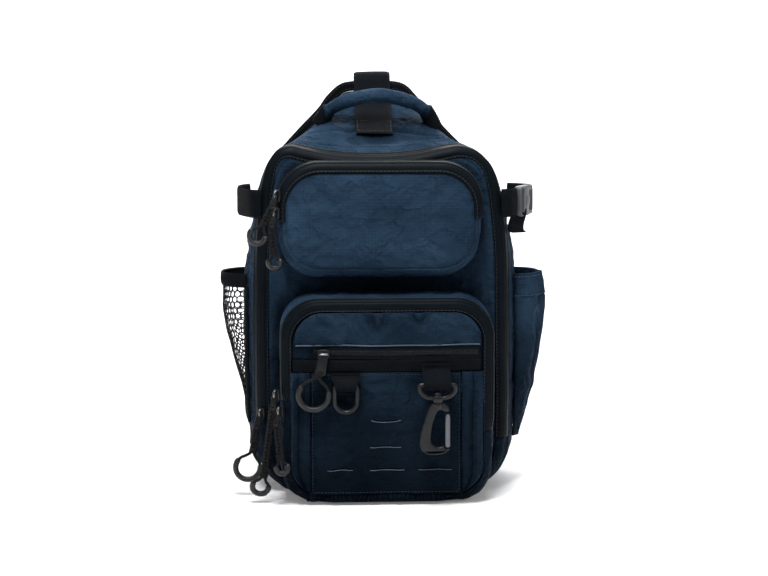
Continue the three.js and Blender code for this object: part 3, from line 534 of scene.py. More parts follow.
NAVY = cloth_material("navy_ripstop", (0.0038, 0.0094, 0.0182), (0.0135, 0.0285, 0.0490))
# lighter copy of the navy cloth for the pleats and the gathers below the panel: painted light on the same fabric
NAVY_PAINTED_LIT = cloth_material("navy_pleats_painted_lit", (0.0056, 0.0138, 0.0270), (0.0190, 0.0390, 0.0660))
RUBBER = plain_material("zip_rubber", (0.0026, 0.0046, 0.0066), 0.46, spec=0.05, grain=900, bump=0.12)
BINDING = webbing_material("black_binding", (0.0016, 0.0023, 0.0030), (0.0060, 0.0078, 0.0100), rib=1.3)
WEB = webbing_material("black_webbing", (0.0014, 0.0021, 0.0029), (0.0054, 0.0072, 0.0096), rib=1.25)
MESHM = plain_material("mesh_yarn", (0.006, 0.0065, 0.0075), 0.75, spec=0.15, grain=1500, bump=0.3)
PLASTIC = plain_material("black_acetal", (0.0072, 0.0080, 0.0092), 0.36, spec=0.28, grain=1300, bump=0.08)
BUCKLE = plain_material("buckle_acetal", (0.052, 0.058, 0.064), 0.42, spec=0.5, grain=1300, bump=0.08)
STEEL = plain_material("steel", (0.115, 0.12, 0.13), 0.30, metal=1.0, grain=300, bump=0.05, vary=0.08)
GLINT = plain_material("slider_bridge", (0.20, 0.20, 0.21), 0.28, metal=0.9, grain=300, bump=0.05)
ZIPMETAL = plain_material("zip_paint", (0.0040, 0.0046, 0.0054), 0.38, spec=0.30, grain=900, bump=0.05)
GRIP = plain_material("pull_grip", (0.0060, 0.0064, 0.0072), 0.40, spec=0.40, grain=1100, bump=0.1)
CORD = plain_material("pull_cord", (0.0062, 0.0066, 0.0072), 0.72, spec=0.15, grain=2600, bump=0.6)
THREAD = plain_material("thread_navy", (0.030, 0.052, 0.100), 0.6, spec=0.3, grain=2600, bump=0.4)
THREAD_D = plain_material("thread_dark", (0.010, 0.020, 0.042), 0.6, spec=0.2, grain=2600, bump=0.4)
THREAD_B = plain_material("thread_black", (0.016, 0.0165, 0.019), 0.6, spec=0.3, grain=2600, bump=0.4)
# pale colour for the lower lips of the panel's slots: painted highlight
SLOT_LIP_HIGHLIGHT = plain_material("slot_lip_painted_highlight", (0.075, 0.095, 0.135), 0.6, spec=0.3, grain=1400, bump=0.2)
# pale colour for the flap's folded edge: painted highlight
NAVY_FOLD_HIGHLIGHT = plain_material("navy_fold_painted_highlight", (0.034, 0.060, 0.098), 0.5, spec=0.4, grain=1400, bump=0.2)
SPACER = plain_material("air_mesh", (0.0085, 0.0092, 0.0104), 0.85, spec=0.1, grain=900, bump=0.9)

# ------------------------------------------------------------------ outline of the bag (as in the drawing)
ST = np.array([
    # rearZ, rearL, rearR, frontZ, frontL, frontR, flange, bulge
    [366, -20, 8, 301.0, -30, 10, 9, -3], [363, -36, 23, 303.6, -52, 32, 9, -3],
    [351.5, -49, 35, 308.0, -72, 52, 9, -2], [340.5, -57, 44, 310, -82, 66, 9, -1],
    [318.5, -78, 65, 307, -92, 78, 9, 0], [300, -94, 83, 300, -99, 88, 8, 1],
    [280, -107, 98, 288, -105, 97, 6, 2], [258, -114, 108, 264, -110, 104, 4, 4],
    [220, -120, 117, 220, -113, 109, 3, 6], [180, -123, 122, 180, -114, 110, 3, 7],
    [110, -124, 124, 110, -114, 111, 3, 7], [50, -122, 123, 46, -113, 111, 3, 5],
    [24, -114, 115, 22, -107, 106, 2.5, 3], [8, -100, 101, 7, -94, 93, 2, 1],
    [0, -80, 80, 0, -76, 76, 0, 0]], float)
NS = len(ST)
LOOP = 2 * NS + 2
REAR_Y, FRONT_Y, BAND_BACK_Y, PANEL_Y = 44.0, -38.0, -26.5, -44.0


def control(zc, lc, rc, top):
    z, l, r = ST[:, zc], ST[:, lc], ST[:, rc]
    pts = [[(l[0] + r[0]) / 2, 0, z[0] + top]] + [[r[i], 0, z[i]] for i in range(NS)]
    pts += [[(l[-1] + r[-1]) / 2, 0, 0]] + [[l[i], 0, z[i]] for i in range(NS - 1, -1, -1)]
    return np.array(pts, float)


REAR, FRONT = control(0, 1, 2, 1.0), control(3, 4, 5, -0.5)
FLANGE = np.concatenate([[ST[0, 6]], ST[:, 6], [0], ST[::-1, 6]])
BULGE = np.concatenate([[ST[0, 7]], ST[:, 7], [0], ST[::-1, 7]])


def periodic(v, k):
    n = len(v)
    a = np.floor(k).astype(int)
    f = k - a
    return v[a % n] * (1 - f) + v[(a + 1) % n] * f


def outline(k, y, inset=0.0, flanged=True):
    """Points of the bag's outline at loop position k and depth y, moved inwards by inset."""
    k, y, inset = np.broadcast_arrays(np.asarray(k, float), np.asarray(y, float), np.asarray(inset, float))
    u = (REAR_Y - y) / (REAR_Y - FRONT_Y)
    uc = np.clip(u, 0, 1)

    def at(kk):
        kk = np.mod(kk, LOOP)
        return cr(REAR, kk) * (1 - uc[..., None]) + cr(FRONT, kk) * uc[..., None]

    p, a, b = at(k), at(k - 0.15), at(k + 0.15)
    tx, tz = b[..., 0] - a[..., 0], b[..., 2] - a[..., 2]
    ln = np.hypot(tx, tz)
    nx, nz = -tz / ln, tx / ln
    bulge = np.where((u > 0) & (u < 1), 4 * u * (1 - u) * periodic(BULGE, k), 0)
    fl = periodic(FLANGE, k) * (1 - uc) if flanged else 0
    d = bulge - fl - inset
    return np.stack([p[..., 0] + nx * d, y, np.maximum(p[..., 2] + nz * d, np.where(inset > 0, np.minimum(inset, 3), 0))], -1)


def R(s):
    return s + 1.0


def L(s):
    return LOOP - 1.0 - s


def even_k(k0, k1, n, y=-30.0):
    """Loop positions from k0 to k1 evenly spaced along the outline."""
    kk = np.linspace(k0, k1, 600)
    P = outline(kk, y)
    s = np.concatenate([[0], np.cumsum(np.linalg.norm(np.diff(P, axis=0), axis=1))])
    return np.interp(np.linspace(0, s[-1], n), s, kk)


CENTRE = (0.0, 0.0, 150.0)


def edge_mask(nj, ni, a=0.12, b=0.05):
    v = np.linspace(0, 1, nj)[:, None]
    u = np.linspace(0, 1, ni)[None]
    m = smooth01(v, 0, a) * smooth01(1 - v, 0, a)
    return m * (smooth01(u, 0, b) * smooth01(1 - u, 0, b) if b else 1)


# ------------------------------------------------------------------ main compartment
def wall(name, node_name, k0, k1, nk, amp, seed, extra=None):
    ks = even_k(k0 + 0.004, k1 - 0.004, nk)
    ys = np.linspace(REAR_Y - 0.3, BAND_BACK_Y + 0.3, 36)
    P = outline(ks[None, :].repeat(len(ys), 0), ys[:, None].repeat(nk, 1))
    N = normals(P, CENTRE)
    h = amp * (ridge(P, (34, 60, 26), seed, 2.2) - 0.45) + 0.35 * amp * fbm(P, (11, 16, 9), 3, seed + 5)
    if extra is not None:
        h = h + extra(P)
    v = np.linspace(0, 1, len(ys))[:, None]
    h = h * smooth01(v, 0, 0.12) * smooth01(1 - v, 0, 0.12)
    P = P + N * h[..., None]
    P[..., 2] = np.maximum(P[..., 2], 0.0)
    return piece(sheet_obj(name, P, NAVY, CENTRE, 1.6), node_name, slot="navy_cloth")


def top_folds(P):
    # sag behind the zip band and the soft dents either side of the webbing
    x, y = P[..., 0], P[..., 1]
    dent = -3.2 * np.exp(-(((x + 14) / 34) ** 2) - (((y + 14) / 9) ** 2))
    dent += -2.2 * np.exp(-(((x - 30) / 26) ** 2) - (((y + 12) / 9) ** 2))
    dent += 1.6 * np.exp(-(((x + 48) / 16) ** 2) - (((y + 4) / 14) ** 2))
    across = smooth01(70 - np.abs(x + 2), 0, 14)
    fold = y - (-3 - 0.0022 * (x + 8) ** 2)
    line = across * (-2.4 * np.exp(-((fold / 1.7) ** 2)) + 1.9 * np.exp(-(((fold + 4.2) / 3.0) ** 2)))
    line += -1.8 * np.exp(-(((x + 34 + 0.5 * y) / 5) ** 2)) * smooth01(-y, -2, 14) + 1.1 * np.exp(-(((x + 25 + 0.5 * y) / 6) ** 2)) * smooth01(-y, -2, 14)
    line += -1.5 * np.exp(-(((x - 58 + 0.9 * y) / 4) ** 2)) * smooth01(-y, -8, 10)
    return dent + line


wall("top_cloth", "top_panel", L(5) - LOOP, R(5), 200, 1.3, 11, top_folds)
wall("side_cloth_right", "gusset_right", R(5), R(13.6), 190, 2.6, 21)
wall("base_cloth", "base_panel", R(13.6), L(13.6), 90, 0.0, 31)
wall("side_cloth_left", "gusset_left", L(13.6), L(5), 190, 2.6, 41)

PROFILE = np.array([[0, -26.5], [0.2, -30], [1.0, -34.5], [3.2, -39.4], [6.6, -42.4], [9.4, -43.6], [12, -44.0]], float)


def profile_at(s):
    """Point (inset, y) at fraction s of the rounded edge's cross-section."""
    P = np.stack([PROFILE[:, 0], PROFILE[:, 1], np.zeros(len(PROFILE))], 1)
    Q = even(catmull(P, 120), 201)
    return np.stack([np.interp(s, np.linspace(0, 1, 201), Q[:, a]) for a in (0, 1)], -1)


def edge_surface(ks, sgrid, height, seed=3, amp=0.0, closed=False):
    """The rounded front edge of the compartment: sgrid runs across its cross-section for every ks."""
    pr = profile_at(sgrid.ravel()).reshape(*sgrid.shape, 2)
    P = outline(ks[None].repeat(len(sgrid), 0), np.maximum(pr[..., 1], FRONT_Y), pr[..., 0])
    P[..., 1] = pr[..., 1]
    N = normals(P, CENTRE, closed)
    h = height + (amp * fbm(P, (30, 20, 30), 2, seed) if amp else 0)
    return P + N * (h + 0 * P[..., 0])[..., None], N


def band_height(s, full=1.3, groove=0.30):
    """Cross-section of a rubber zip band: one broad roll with a closed joint and flat stitched edges."""
    h = full * (smooth01(s, 0.0, 0.08) * smooth01(1 - s, 0.0, 0.08))
    h = h + 1.35 * np.clip(np.sin(np.pi * np.clip((s - 0.14) / 0.72, 0, 1)), 0, 1) ** 0.8
    return h - groove * np.exp(-(((s - 0.5) / 0.03) ** 2)) - 0.45 * np.exp(-(((s - 0.13) / 0.025) ** 2)) - 0.45 * np.exp(-(((s - 0.87) / 0.025) ** 2))


ks = even_k(0, LOOP, 441)[:-1]
sg = np.linspace(0, 1, 22)[:, None].repeat(440, 1)
low_k = smooth01(np.abs(ks - LOOP / 2), 5.2, 3.2)[None]
P, N = edge_surface(ks, sg, 0.35 + low_k * (0.9 * np.exp(-(((sg - 0.25) / 0.07) ** 2)) + 0.8 * np.exp(-(((sg - 0.95) / 0.05) ** 2))), amp=0.45, closed=True)
P[..., 2] = np.maximum(P[..., 2], 0)
piece(sheet_obj("edge_cloth", P, NAVY, CENTRE, 1.4, closed_i=True), "base_welt", slot="navy_cloth")
t = np.linspace(0, 1, 40)[:, None]
kb = even_k(L(10.6) - LOOP, R(10.95), 320)
km = np.mod(kb, LOOP)
corner = np.exp(-(((km - R(5)) / 1.5) ** 2)) + np.exp(-(((km - L(5)) / 1.5) ** 2))
s0, s1 = 0.27 + 0.10 * corner, 0.985 - 0.13 * corner
sg = s0[None] + (s1 - s0)[None] * t
P, N = edge_surface(kb, sg, 0.3 + band_height(t), amp=0.35)
piece(sheet_obj("zip_band_main", P, RUBBER, CENTRE, 1.4), "main_zip_band", slot="zip_band")
stitches("zip_band_stitches", [(P[2], N[2]), (P[37], N[37])], THREAD_B)


def disc_rows(edge, centre, rows):
    return np.array([centre + s * (edge - centre) for s in rows])


ks = even_k(0, LOOP, 181, -38)[:-1]
edge = outline(ks, FRONT_Y, 11.6)
edge[:, 1] = PANEL_Y
c = np.array([-2.0, PANEL_Y, 155.0])
P = disc_rows(edge, c, np.linspace(1, 0.02, 52))
x, z = P[..., 0], P[..., 2]
bare = smooth01(np.abs(x), 60, 84) + smooth01(z, 283, 290) + np.exp(-(((z - 188) / 5) ** 2))
h = 2.1 * (ridge(P, (17, 30, 30), 61, 2.2) - 0.4) + 0.7 * fbm(P, (9, 9, 12), 3, 62)
h += creases(P, [(-86, 200, -60, 182, 4, 2.0), (84, 198, 50, 184, 4, 2.0), (-40, 196, -20, 182, 4, 1.4), (10, 196, 30, 183, 4, 1.4), (-88, 262, -84, 214, 3, 1.0)])
v = np.linspace(1, 0.02, 52)[:, None]
h = h * smooth01(1 - v, 0, 0.03) * np.clip(bare, 0.15, 1)
P[..., 1] -= np.clip(h + 0.4, -0.6, 3.2)
piece(sheet_obj("front_cloth", P, NAVY, CENTRE, 1.4, closed_i=True), "front_panel", slot="navy_cloth")

# rim: flat padded border with a rolled binding on its outer edge
ks = even_k(0, LOOP, 401, 44)[:-1]
prof = []
for a in np.linspace(0, 2 * math.pi, 25)[:-1]:
    ca, sa = math.cos(a), math.sin(a)
    r = 2.9 + (1.5 * max(ca, 0) ** 2)
    prof.append((4.6 - 4.5 * np.sign(ca) * abs(ca) ** 0.7, 47.2 - 3.1 * np.sign(sa) * abs(sa) ** 0.8))
prof = np.array(prof)
P = np.array([outline(ks, REAR_Y, i, False) * [1, 0, 1] + [0, y, 0] for i, y in prof])
P[..., 1] += 0.25 * fbm(P, (20, 20, 20), 2, 71)
ob = new_mesh("rim_border", P.reshape(-1, 3), grid_faces(len(prof), len(ks), True, True), BINDING, grid_uv(P).reshape(-1, 2))
fix_normals(ob)
piece(ob, "rim_binding", slot="black_binding")
a1 = outline(ks, REAR_Y, 2.2, False) * [1, 0, 1] + [0, 44.2, 0]
a2 = outline(ks, REAR_Y, 7.0, False) * [1, 0, 1] + [0, 44.1, 0]
a3 = outline(ks, REAR_Y, 5.0, False) * [1, 0, 1] + [0, 50.3, 0]
f_ = np.repeat([[0, -1.0, 0]], len(ks), 0)
stitches("rim_stitches", [(a1, f_), (a2, f_), (a3, -f_)], THREAD_B, radius=0.3)

# padded back: three quilted columns of air mesh
ks = even_k(0, LOOP, 221, 44)[:-1]
edge = outline(ks, REAR_Y, 9.4, False)
edge[:, 1] = 0
c = np.array([-2.0, 0, 160.0])
rows = np.concatenate([[1.0, 1.0, 0.995, 0.985], np.linspace(0.965, 0.01, 62)])
P = disc_rows(edge, c, rows)
x, z = P[..., 0], P[..., 2]
depth = np.array([44.4, 46.5, 48.6, 50.2] + [51.0] * 62)[:, None] + np.zeros_like(x)
inner = np.clip((1 - rows) * 14, 0, 1)[:, None]
groove = np.exp(-(((np.abs(x + 2) - 36) / 3.0) ** 2)) + np.exp(-(((z - 205) / 3.0) ** 2)) + np.exp(-(((z - 90) / 3.0) ** 2))
P[..., 1] = depth - 3.0 * inner * np.clip(groove, 0, 1) + 0.2 * fbm(P, (30, 30, 30), 2, 73) * inner
piece(sheet_obj("back_padding", P, SPACER, CENTRE, 1.5, closed_i=True), "back_panel", slot="spacer_mesh", padded=0.55)


# ------------------------------------------------------------------ front pockets
UPPER = np.array([  # y, left, right, bottom, top, corner
    [-44.4, -92, 82, 194, 294, 33], [-60, -93, 83, 198, 297, 35], [-67, -92, 82, 200, 294.5, 35],
    [-72, -87.5, 77.5, 204, 287, 31], [-75.2, -60, 51, 222, 270, 18], [-76.4, -6, -4, 245.5, 246.5, 0.4]], float)
LOWER = np.array([
    [-44.4, -92, 93, 0, 181, 30], [-78, -92, 93, 0, 180, 32], [-86, -89.5, 91, 2.5, 177, 32],
    [-90, -82, 83, 9, 168, 26], [-91, -55, 56, 35, 142, 12], [-91.5, 0, 2, 88, 89, 0.4]], float)


def rows_between(table, ts):
    """Rows of a pocket table at fractional row numbers, smoothly joined."""
    T = np.asarray(table)
    m = len(T)
    ext = np.vstack([2 * T[0] - T[1], T, 2 * T[-1] - T[-2]])
    i = np.clip(np.floor(ts).astype(int), 0, m - 2)
    w = (ts - i)[:, None]
    p0, p1, p2, p3 = ext[i], ext[i + 1], ext[i + 2], ext[i + 3]
    t0, t1 = (p2 - p0) * 0.5, (p3 - p1) * 0.5
    t0, t1 = np.clip(t0, -np.abs(p2 - p1) * 1.5, np.abs(p2 - p1) * 1.5), np.clip(t1, -np.abs(p2 - p1) * 1.5, np.abs(p2 - p1) * 1.5)
    return (2 * p1 - 2 * p2 + t0 + t1) * w**3 + (-3 * p1 + 3 * p2 - 2 * t0 - t1) * w**2 + t0 * w + p1


def round_loop(row, nc=16, nh=40, nv=20):
    y, l, r, b, t, c = row
    pts = []
    H = lambda a, b_, n: np.linspace(a, b_, n, endpoint=False)
    xm = (l + r) / 2
    pts += [(q, t) for q in H(xm, r - c, nh // 2)]
    pts += [(r - c + c * math.cos(a), t - c + c * math.sin(a)) for a in H(math.pi / 2, 0, nc)]
    pts += [(r, q) for q in H(t - c, b + c, nv)]
    pts += [(r - c + c * math.cos(a), b + c + c * math.sin(a)) for a in H(0, -math.pi / 2, nc)]
    pts += [(q, b) for q in H(r - c, l + c, nh)]
    pts += [(l + c + c * math.cos(a), b + c + c * math.sin(a)) for a in H(-math.pi / 2, -math.pi, nc)]
    pts += [(l, q) for q in H(b + c, t - c, nv)]
    pts += [(l + c + c * math.cos(a), t - c + c * math.sin(a)) for a in H(math.pi, math.pi / 2, nc)]
    pts += [(q, t) for q in H(l + c, xm, nh // 2)]
    p = np.array(pts)
    return np.stack([p[:, 0], np.full(len(p), y), p[:, 1]], 1)


def arch_loop(row, end_l, end_r, nc=24, nh=60, nv=24):
    y, l, r, b, t, c = row
    pts = [(l, q) for q in np.linspace(end_l, t - c, nv, endpoint=False)]
    pts += [(l + c + c * math.cos(a), t - c + c * math.sin(a)) for a in np.linspace(math.pi, math.pi / 2, nc, endpoint=False)]
    pts += [(q, t) for q in np.linspace(l + c, r - c, nh, endpoint=False)]
    pts += [(r - c + c * math.cos(a), t - c + c * math.sin(a)) for a in np.linspace(math.pi / 2, 0, nc, endpoint=False)]
    pts += [(r, q) for q in np.linspace(t - c, end_r, nv)]
    p = np.array(pts)
    return np.stack([p[:, 0], np.full(len(p), y), p[:, 1]], 1)


def pocket(name, node_name, table, ts, height, ref, mat=NAVY, slotname="navy_cloth"):
    P = np.array([round_loop(r) for r in rows_between(table, ts)])
    N = normals(P, ref, True)
    flat = smooth01(ts, 3.3, 3.7)[:, None, None]
    N = N * (1 - flat) + np.array([0, -1.0, 0]) * flat
    P = P + N * height(P, ts)[..., None]
    P[..., 2] = np.maximum(P[..., 2], 0.0)
    P[..., 1] = np.minimum(P[..., 1], PANEL_Y - 0.2)
    P[-1] = P[-1].mean(0) + (P[-1] - P[-1].mean(0)) * 0.05
    return piece(sheet_obj(name, P, mat, ref, 1.4, closed_i=True), node_name, slot=slotname)


def upper_height(P, ts):
    t = ts[:, None]
    face = smooth01(t, 2.9, 3.4)
    side = smooth01(t, 0.0, 0.4) * (1 - smooth01(t, 2.6, 3.0))
    h = face * (1.3 * fbm(P, (40, 40, 22), 2, 81) + 0.8 * (ridge(P, (26, 30, 46), 82, 2.4) - 0.4) + 0.2 * fbm(P, (8, 8, 8), 2, 83))
    h += side * (1.2 * (ridge(P, (22, 18, 22), 84, 2.0) - 0.35))
    h += creases(P, [(-70, 214, -40, 232, 4, 1.3), (58, 214, 30, 233, 4, 1.2), (-66, 280, -48, 262, 4, 1.0), (56, 281, 40, 262, 4, 1.0),
                     (-30, 209, -22, 226, 3, 0.9), (12, 209, 10, 228, 3, 0.9)]) * face
    # rolled seam where the face meets the edge
    return h - 0.9 * np.exp(-(((t - 3.0) / 0.10) ** 2)) + 0.5 * np.exp(-(((t - 2.82) / 0.08) ** 2))


ts = np.concatenate([np.linspace(0, 2.6, 26, endpoint=False), np.linspace(2.6, 3.4, 22, endpoint=False), np.linspace(3.4, 5.0, 26)])
pocket("upper_pocket", "upper_pocket_shell", UPPER, ts, upper_height, (-5, -40, 246))


def pocket_band(name, node_name, table, end_l, end_r, t0, t1, seed):
    s = np.linspace(0, 1, 40)
    rows = rows_between(table, t0 + (t1 - t0) * s)
    P = np.array([arch_loop(r, end_l, end_r) for r in rows])
    ref = ((table[1, 1] + table[1, 2]) / 2, PANEL_Y + 20, (table[1, 3] + table[1, 4]) / 2 - 20)
    N = normals(P, ref)
    h = band_height(s, 1.5, 0.8)[:, None] + 0.25 * fbm(P, (26, 20, 26), 2, seed)
    # ends taper under the bar tack
    i = np.linspace(0, 1, P.shape[1])[None]
    h = h * (0.35 + 0.65 * smooth01(i, 0, 0.02) * smooth01(1 - i, 0, 0.02))
    ob = piece(sheet_obj(name, P + N * h[..., None], RUBBER, ref, 1.4), node_name, slot="zip_band")
    a, b = 3, 36
    stitches(name + "_stitches", [(P[a] + N[a] * 1.5, N[a]), (P[b] + N[b] * 1.5, N[b])], THREAD_B)
    return ob


pocket_band("upper_band", "upper_zip_band", UPPER, 245, 247, 1.35, 3.02, 91)


def lower_height(P, ts):
    t = ts[:, None]
    face = smooth01(t, 2.95, 3.3)
    side = smooth01(t, 0.0, 0.3) * (1 - smooth01(t, 2.6, 3.0))
    h = side * (1.5 * (ridge(P, (26, 20, 30), 101, 2.0) - 0.35) + 0.4 * fbm(P, (9, 9, 9), 3, 102))
    h += face * 0.3 * fbm(P, (14, 14, 14), 3, 103)
    low = smooth01(-P[..., 2], -26, -10)
    h += low * 0.8 * np.sin(P[..., 0] / 2.6) * np.exp(-(((t - 2.9) / 0.25) ** 2))
    return h - 1.0 * np.exp(-(((t - 3.0) / 0.10) ** 2)) + 0.6 * np.exp(-(((t - 2.8) / 0.08) ** 2))


ts = np.concatenate([np.linspace(0, 2.6, 30, endpoint=False), np.linspace(2.6, 3.4, 22, endpoint=False), np.linspace(3.4, 5.0, 12)])
pocket("lower_pocket", "lower_pocket_shell", LOWER, ts, lower_height, (0, -50, 88))
pocket_band("lower_band", "lower_zip_band", LOWER, 92, 64, 1.45, 3.02, 95)


def panel_grid(x0, x1, z0, z1, nx, nz, y):
    x = np.linspace(x0, x1, nx)[None].repeat(nz, 0)
    z = np.linspace(z1, z0, nz)[:, None].repeat(nx, 1)
    return np.stack([x, np.full_like(x, y), z], -1)


# flap under the top of the lower pocket's zip
P = panel_grid(-80, 81, 139.6, 168.5, 150, 44, -92.3)
x, z = P[..., 0], P[..., 2]
half, cx, rr, top = 80.5, 0.5, 24.0, 168.5
over = np.maximum(np.abs(x - cx) - (half - rr), 0)
lim = top - rr + np.sqrt(np.maximum(rr * rr - over * over, 0))
zz = 139.6 + (z - 139.6) * (lim - 139.6) / (top - 139.6)
P[..., 2] = zz
v = (zz - 139.6) / 29
h = 2.9 * np.sin(np.pi * np.clip(v, 0, 1)) ** 0.8 + 0.5 * fbm(P, (16, 16, 9), 3, 111) + 1.3 * (ridge(P, (19, 20, 34), 112, 2.0) - 0.4)
h += creases(P, [(-20, 171, -9, 151, 3.4, 3.8), (2, 170, -8, 151, 3.2, 3.2), (16, 172, 27, 156, 3.2, 3.2), (38, 171, 28, 157, 3.0, 2.6),
                 (-66, 166, -44, 150, 3.4, 1.6), (60, 168, 68, 148, 3.4, 1.6), (-40, 170, -34, 160, 2.6, 1.2)])
P[..., 1] -= np.clip(h + 0.6, 0.0, 5.0)
piece(sheet_obj("flap", P, NAVY, CENTRE, 1.2), "pocket_flap", slot="navy_cloth")
x = np.linspace(-78, 79, 120)
rowA = np.stack([x, np.full_like(x, -93.2), np.full_like(x, 142.2)], 1)
fr = np.repeat([[0, -1.0, 0]], len(x), 0)
stitches("flap_stitches", [(rowA + [0, 0, 2.2], fr)], THREAD, pitch=3.0, radius=0.33)
# painted highlight: a pale tube along the flap's lower fold stands in for light caught on the folded edge
xe = np.linspace(-79, 80, 160)
fold_highlight_path = np.stack([xe, np.full_like(xe, -93.7), 140.7 + 0.25 * np.sin(xe / 9.0) - 0.8 * np.exp(-(((xe - 8) / 40) ** 2))], 1)
piece(tube_obj("flap_fold_highlight", fold_highlight_path, 0.62, NAVY_FOLD_HIGHLIGHT, 8, up=(0, 1, 0.01)))

# slip zipper: two tapes, a rolled coil between them
P = panel_grid(-64, 80, 128.6, 139.4, 120, 26, -92.1)
dip = -0.8 * np.exp(-(((P[..., 0] - 8) / 40) ** 2))
v = (P[..., 2] - 133.9) / 5.3
h = 0.8 + 0.9 * np.exp(-((v / 0.36) ** 2)) - 0.5 * np.exp(-((v / 0.08) ** 2)) - 0.3 * np.exp(-(((np.abs(v) - 0.52) / 0.09) ** 2)) + 0.15 * fbm(P, (22, 20, 9), 2, 121)
P[..., 1] -= h
P[..., 2] += dip
piece(sheet_obj("slip_zip_tape", P, RUBBER, CENTRE, 0.9), "slip_zipper", slot="zip_band")
x = np.arange(-50, 78, 1.55)
teeth = np.stack([x, np.full_like(x, -93.75), 133.9 - 0.8 * np.exp(-(((x - 8) / 40) ** 2))], 1)
piece(capsules("slip_zip_coil", teeth, np.repeat([[0.25, 0, 1.0]], len(x), 0), np.repeat([[0, -1.0, 0]], len(x), 0), 3.6, 0.5, ZIPMETAL))

# webbing strip below the zipper
P = panel_grid(-81.5, 81, 117.0, 128.4, 170, 14, -92.2)
v = np.abs((P[..., 2] - 122.6) / 5.6)
P[..., 1] -= 1.3 * (1 - v**8) + 0.25 * fbm(P, (30, 20, 20), 2, 131) + 0.35
P[..., 2] += 0.5 * np.sin(P[..., 0] / 31) - 0.6 * np.exp(-(((P[..., 0] - 8) / 40) ** 2))
piece(sheet_obj("front_webbing", P, WEB, CENTRE, 1.2), "webbing_strip", slot="black_webbing")

# laser-cut panel of the slip pocket
SLOTS = [(75, -14, 12), (51, -15, 12), (31, -52, -30), (31, -15, 15), (31, 27, 56)]


def panel_y(x, z):
    """Front surface of the slip pocket's panel."""
    p = np.stack([x, np.zeros_like(x), z], -1)
    u = np.clip((x + 66) / 130, 0, 1)
    w = np.clip((z - 9) / 108, 0, 1)
    soft = 0.45 + 0.6 * np.sin(np.pi * u) ** 0.6 * np.sin(np.pi * w) ** 0.6
    near_hook = np.exp(-(((x - 42) / 24) ** 2) - (((z - 72) / 34) ** 2))
    quilt = sum(np.exp(-(((z - q) / 1.3) ** 2)) for q in (97, 63, 41, 22)) * 0.35 + sum(np.exp(-(((x - q) / 1.2) ** 2)) for q in (-22, 20)) * 0.25
    wr = -quilt + 1.2 * fbm(p, (30, 30, 24), 3, 141) + 1.3 * (ridge(p, (40, 30, 20), 142, 2.2) - 0.4) + 1.9 * creases(p, CREASES)
    return -92.7 - soft * (1 - 0.6 * near_hook) - np.clip(wr, -1.3, 2.3) * (1 - 0.88 * near_hook)


CREASES = [(-50, 100, -18, 84, 3.2, 0.9), (-52, 66, -20, 60, 3.0, 0.7), (-6, 96, 20, 88, 3, 0.6), (-50, 22, -20, 42, 3.0, 0.8),
           (58, 24, 30, 44, 3.0, 0.8), (-20, 106, 6, 108, 3, 0.7), (4, 66, 26, 58, 3, 0.5)]
P = panel_grid(-66, 64, 9.5, 116.6, 144, 120, 0)
P[..., 1] = panel_y(P[..., 0], P[..., 2])
panel = sheet_obj("slip_panel", P, NAVY, CENTRE, 1.3)
apply_mods(panel)
cutters = []
slot_lip_highlight_paths = []
for z, a, b in SLOTS:
    n = 26
    x = np.linspace(a, b, n)
    zc = z + 0.9 * np.sin((x - a) / (b - a) * np.pi) * (-1 if z > 60 else 1)
    hw = 0.62 * np.minimum(1, 2.2 * np.sin(np.clip((x - a) / (b - a), 0.02, 0.98) * np.pi))
    up = np.stack([x, zc + hw], 1)
    dn = np.stack([x, zc - hw], 1)[::-1]
    ring = np.vstack([up, dn])
    m = len(ring)
    V = np.vstack([np.stack([ring[:, 0], np.full(m, -98.0), ring[:, 1]], 1), np.stack([ring[:, 0], np.full(m, -90.5), ring[:, 1]], 1)])
    F = grid_faces(2, m, True) + [list(range(m)), [m + k for k in range(m)][::-1]]
    cutters.append(fix_normals(new_mesh("cutter", V, F)))
    ring2 = (dn[::-1] if z != 31 else dn[::-1]) - [0, 0.12]
    y = panel_y(ring2[:, 0], ring2[:, 1])
    slot_lip_highlight_paths.append(np.stack([ring2[:, 0], y - 0.05, ring2[:, 1]], 1))
for cobj in cutters:
    bo = panel.modifiers.new("slot", "BOOLEAN")
    bo.operation, bo.object, bo.solver = "DIFFERENCE", cobj, "EXACT"
apply_mods(panel)
for cobj in cutters:
    bpy.data.objects.remove(cobj)
piece(panel, "molle_panel", slot="navy_cloth")
# painted highlight: pale tubes along each slot's lower lip stand in for light caught on the cut edge
V, F = [], []
for path in slot_lip_highlight_paths:
    v_, f_2 = tube_data(even(path, 40), 0.30, 6, False, up=(0, -1, 0.01))
    F += [[q + len(V) * 0 + sum(len(a) for a in V) for q in f] for f in f_2]
    V.append(v_)
piece(fix_normals(new_mesh("slot_lip_highlight_tubes", np.vstack(V), F, SLOT_LIP_HIGHLIGHT)))
rows = []
for x0, z0, x1, z1 in [(-64.6, 116, -64.6, 12), (62.6, 116, 62.6, 12), (-64, 11.4, 62, 11.4), (-64, 114.6, 62, 114.6)]:
    n = 60
    x, z = np.linspace(x0, x1, n), np.linspace(z0, z1, n)
    rows.append((np.stack([x, panel_y(x, z) - 0.05, z], 1), np.repeat([[0, -1.0, 0]], n, 0)))
stitches("slip_panel_stitches", rows, THREAD_D, pitch=3.0)


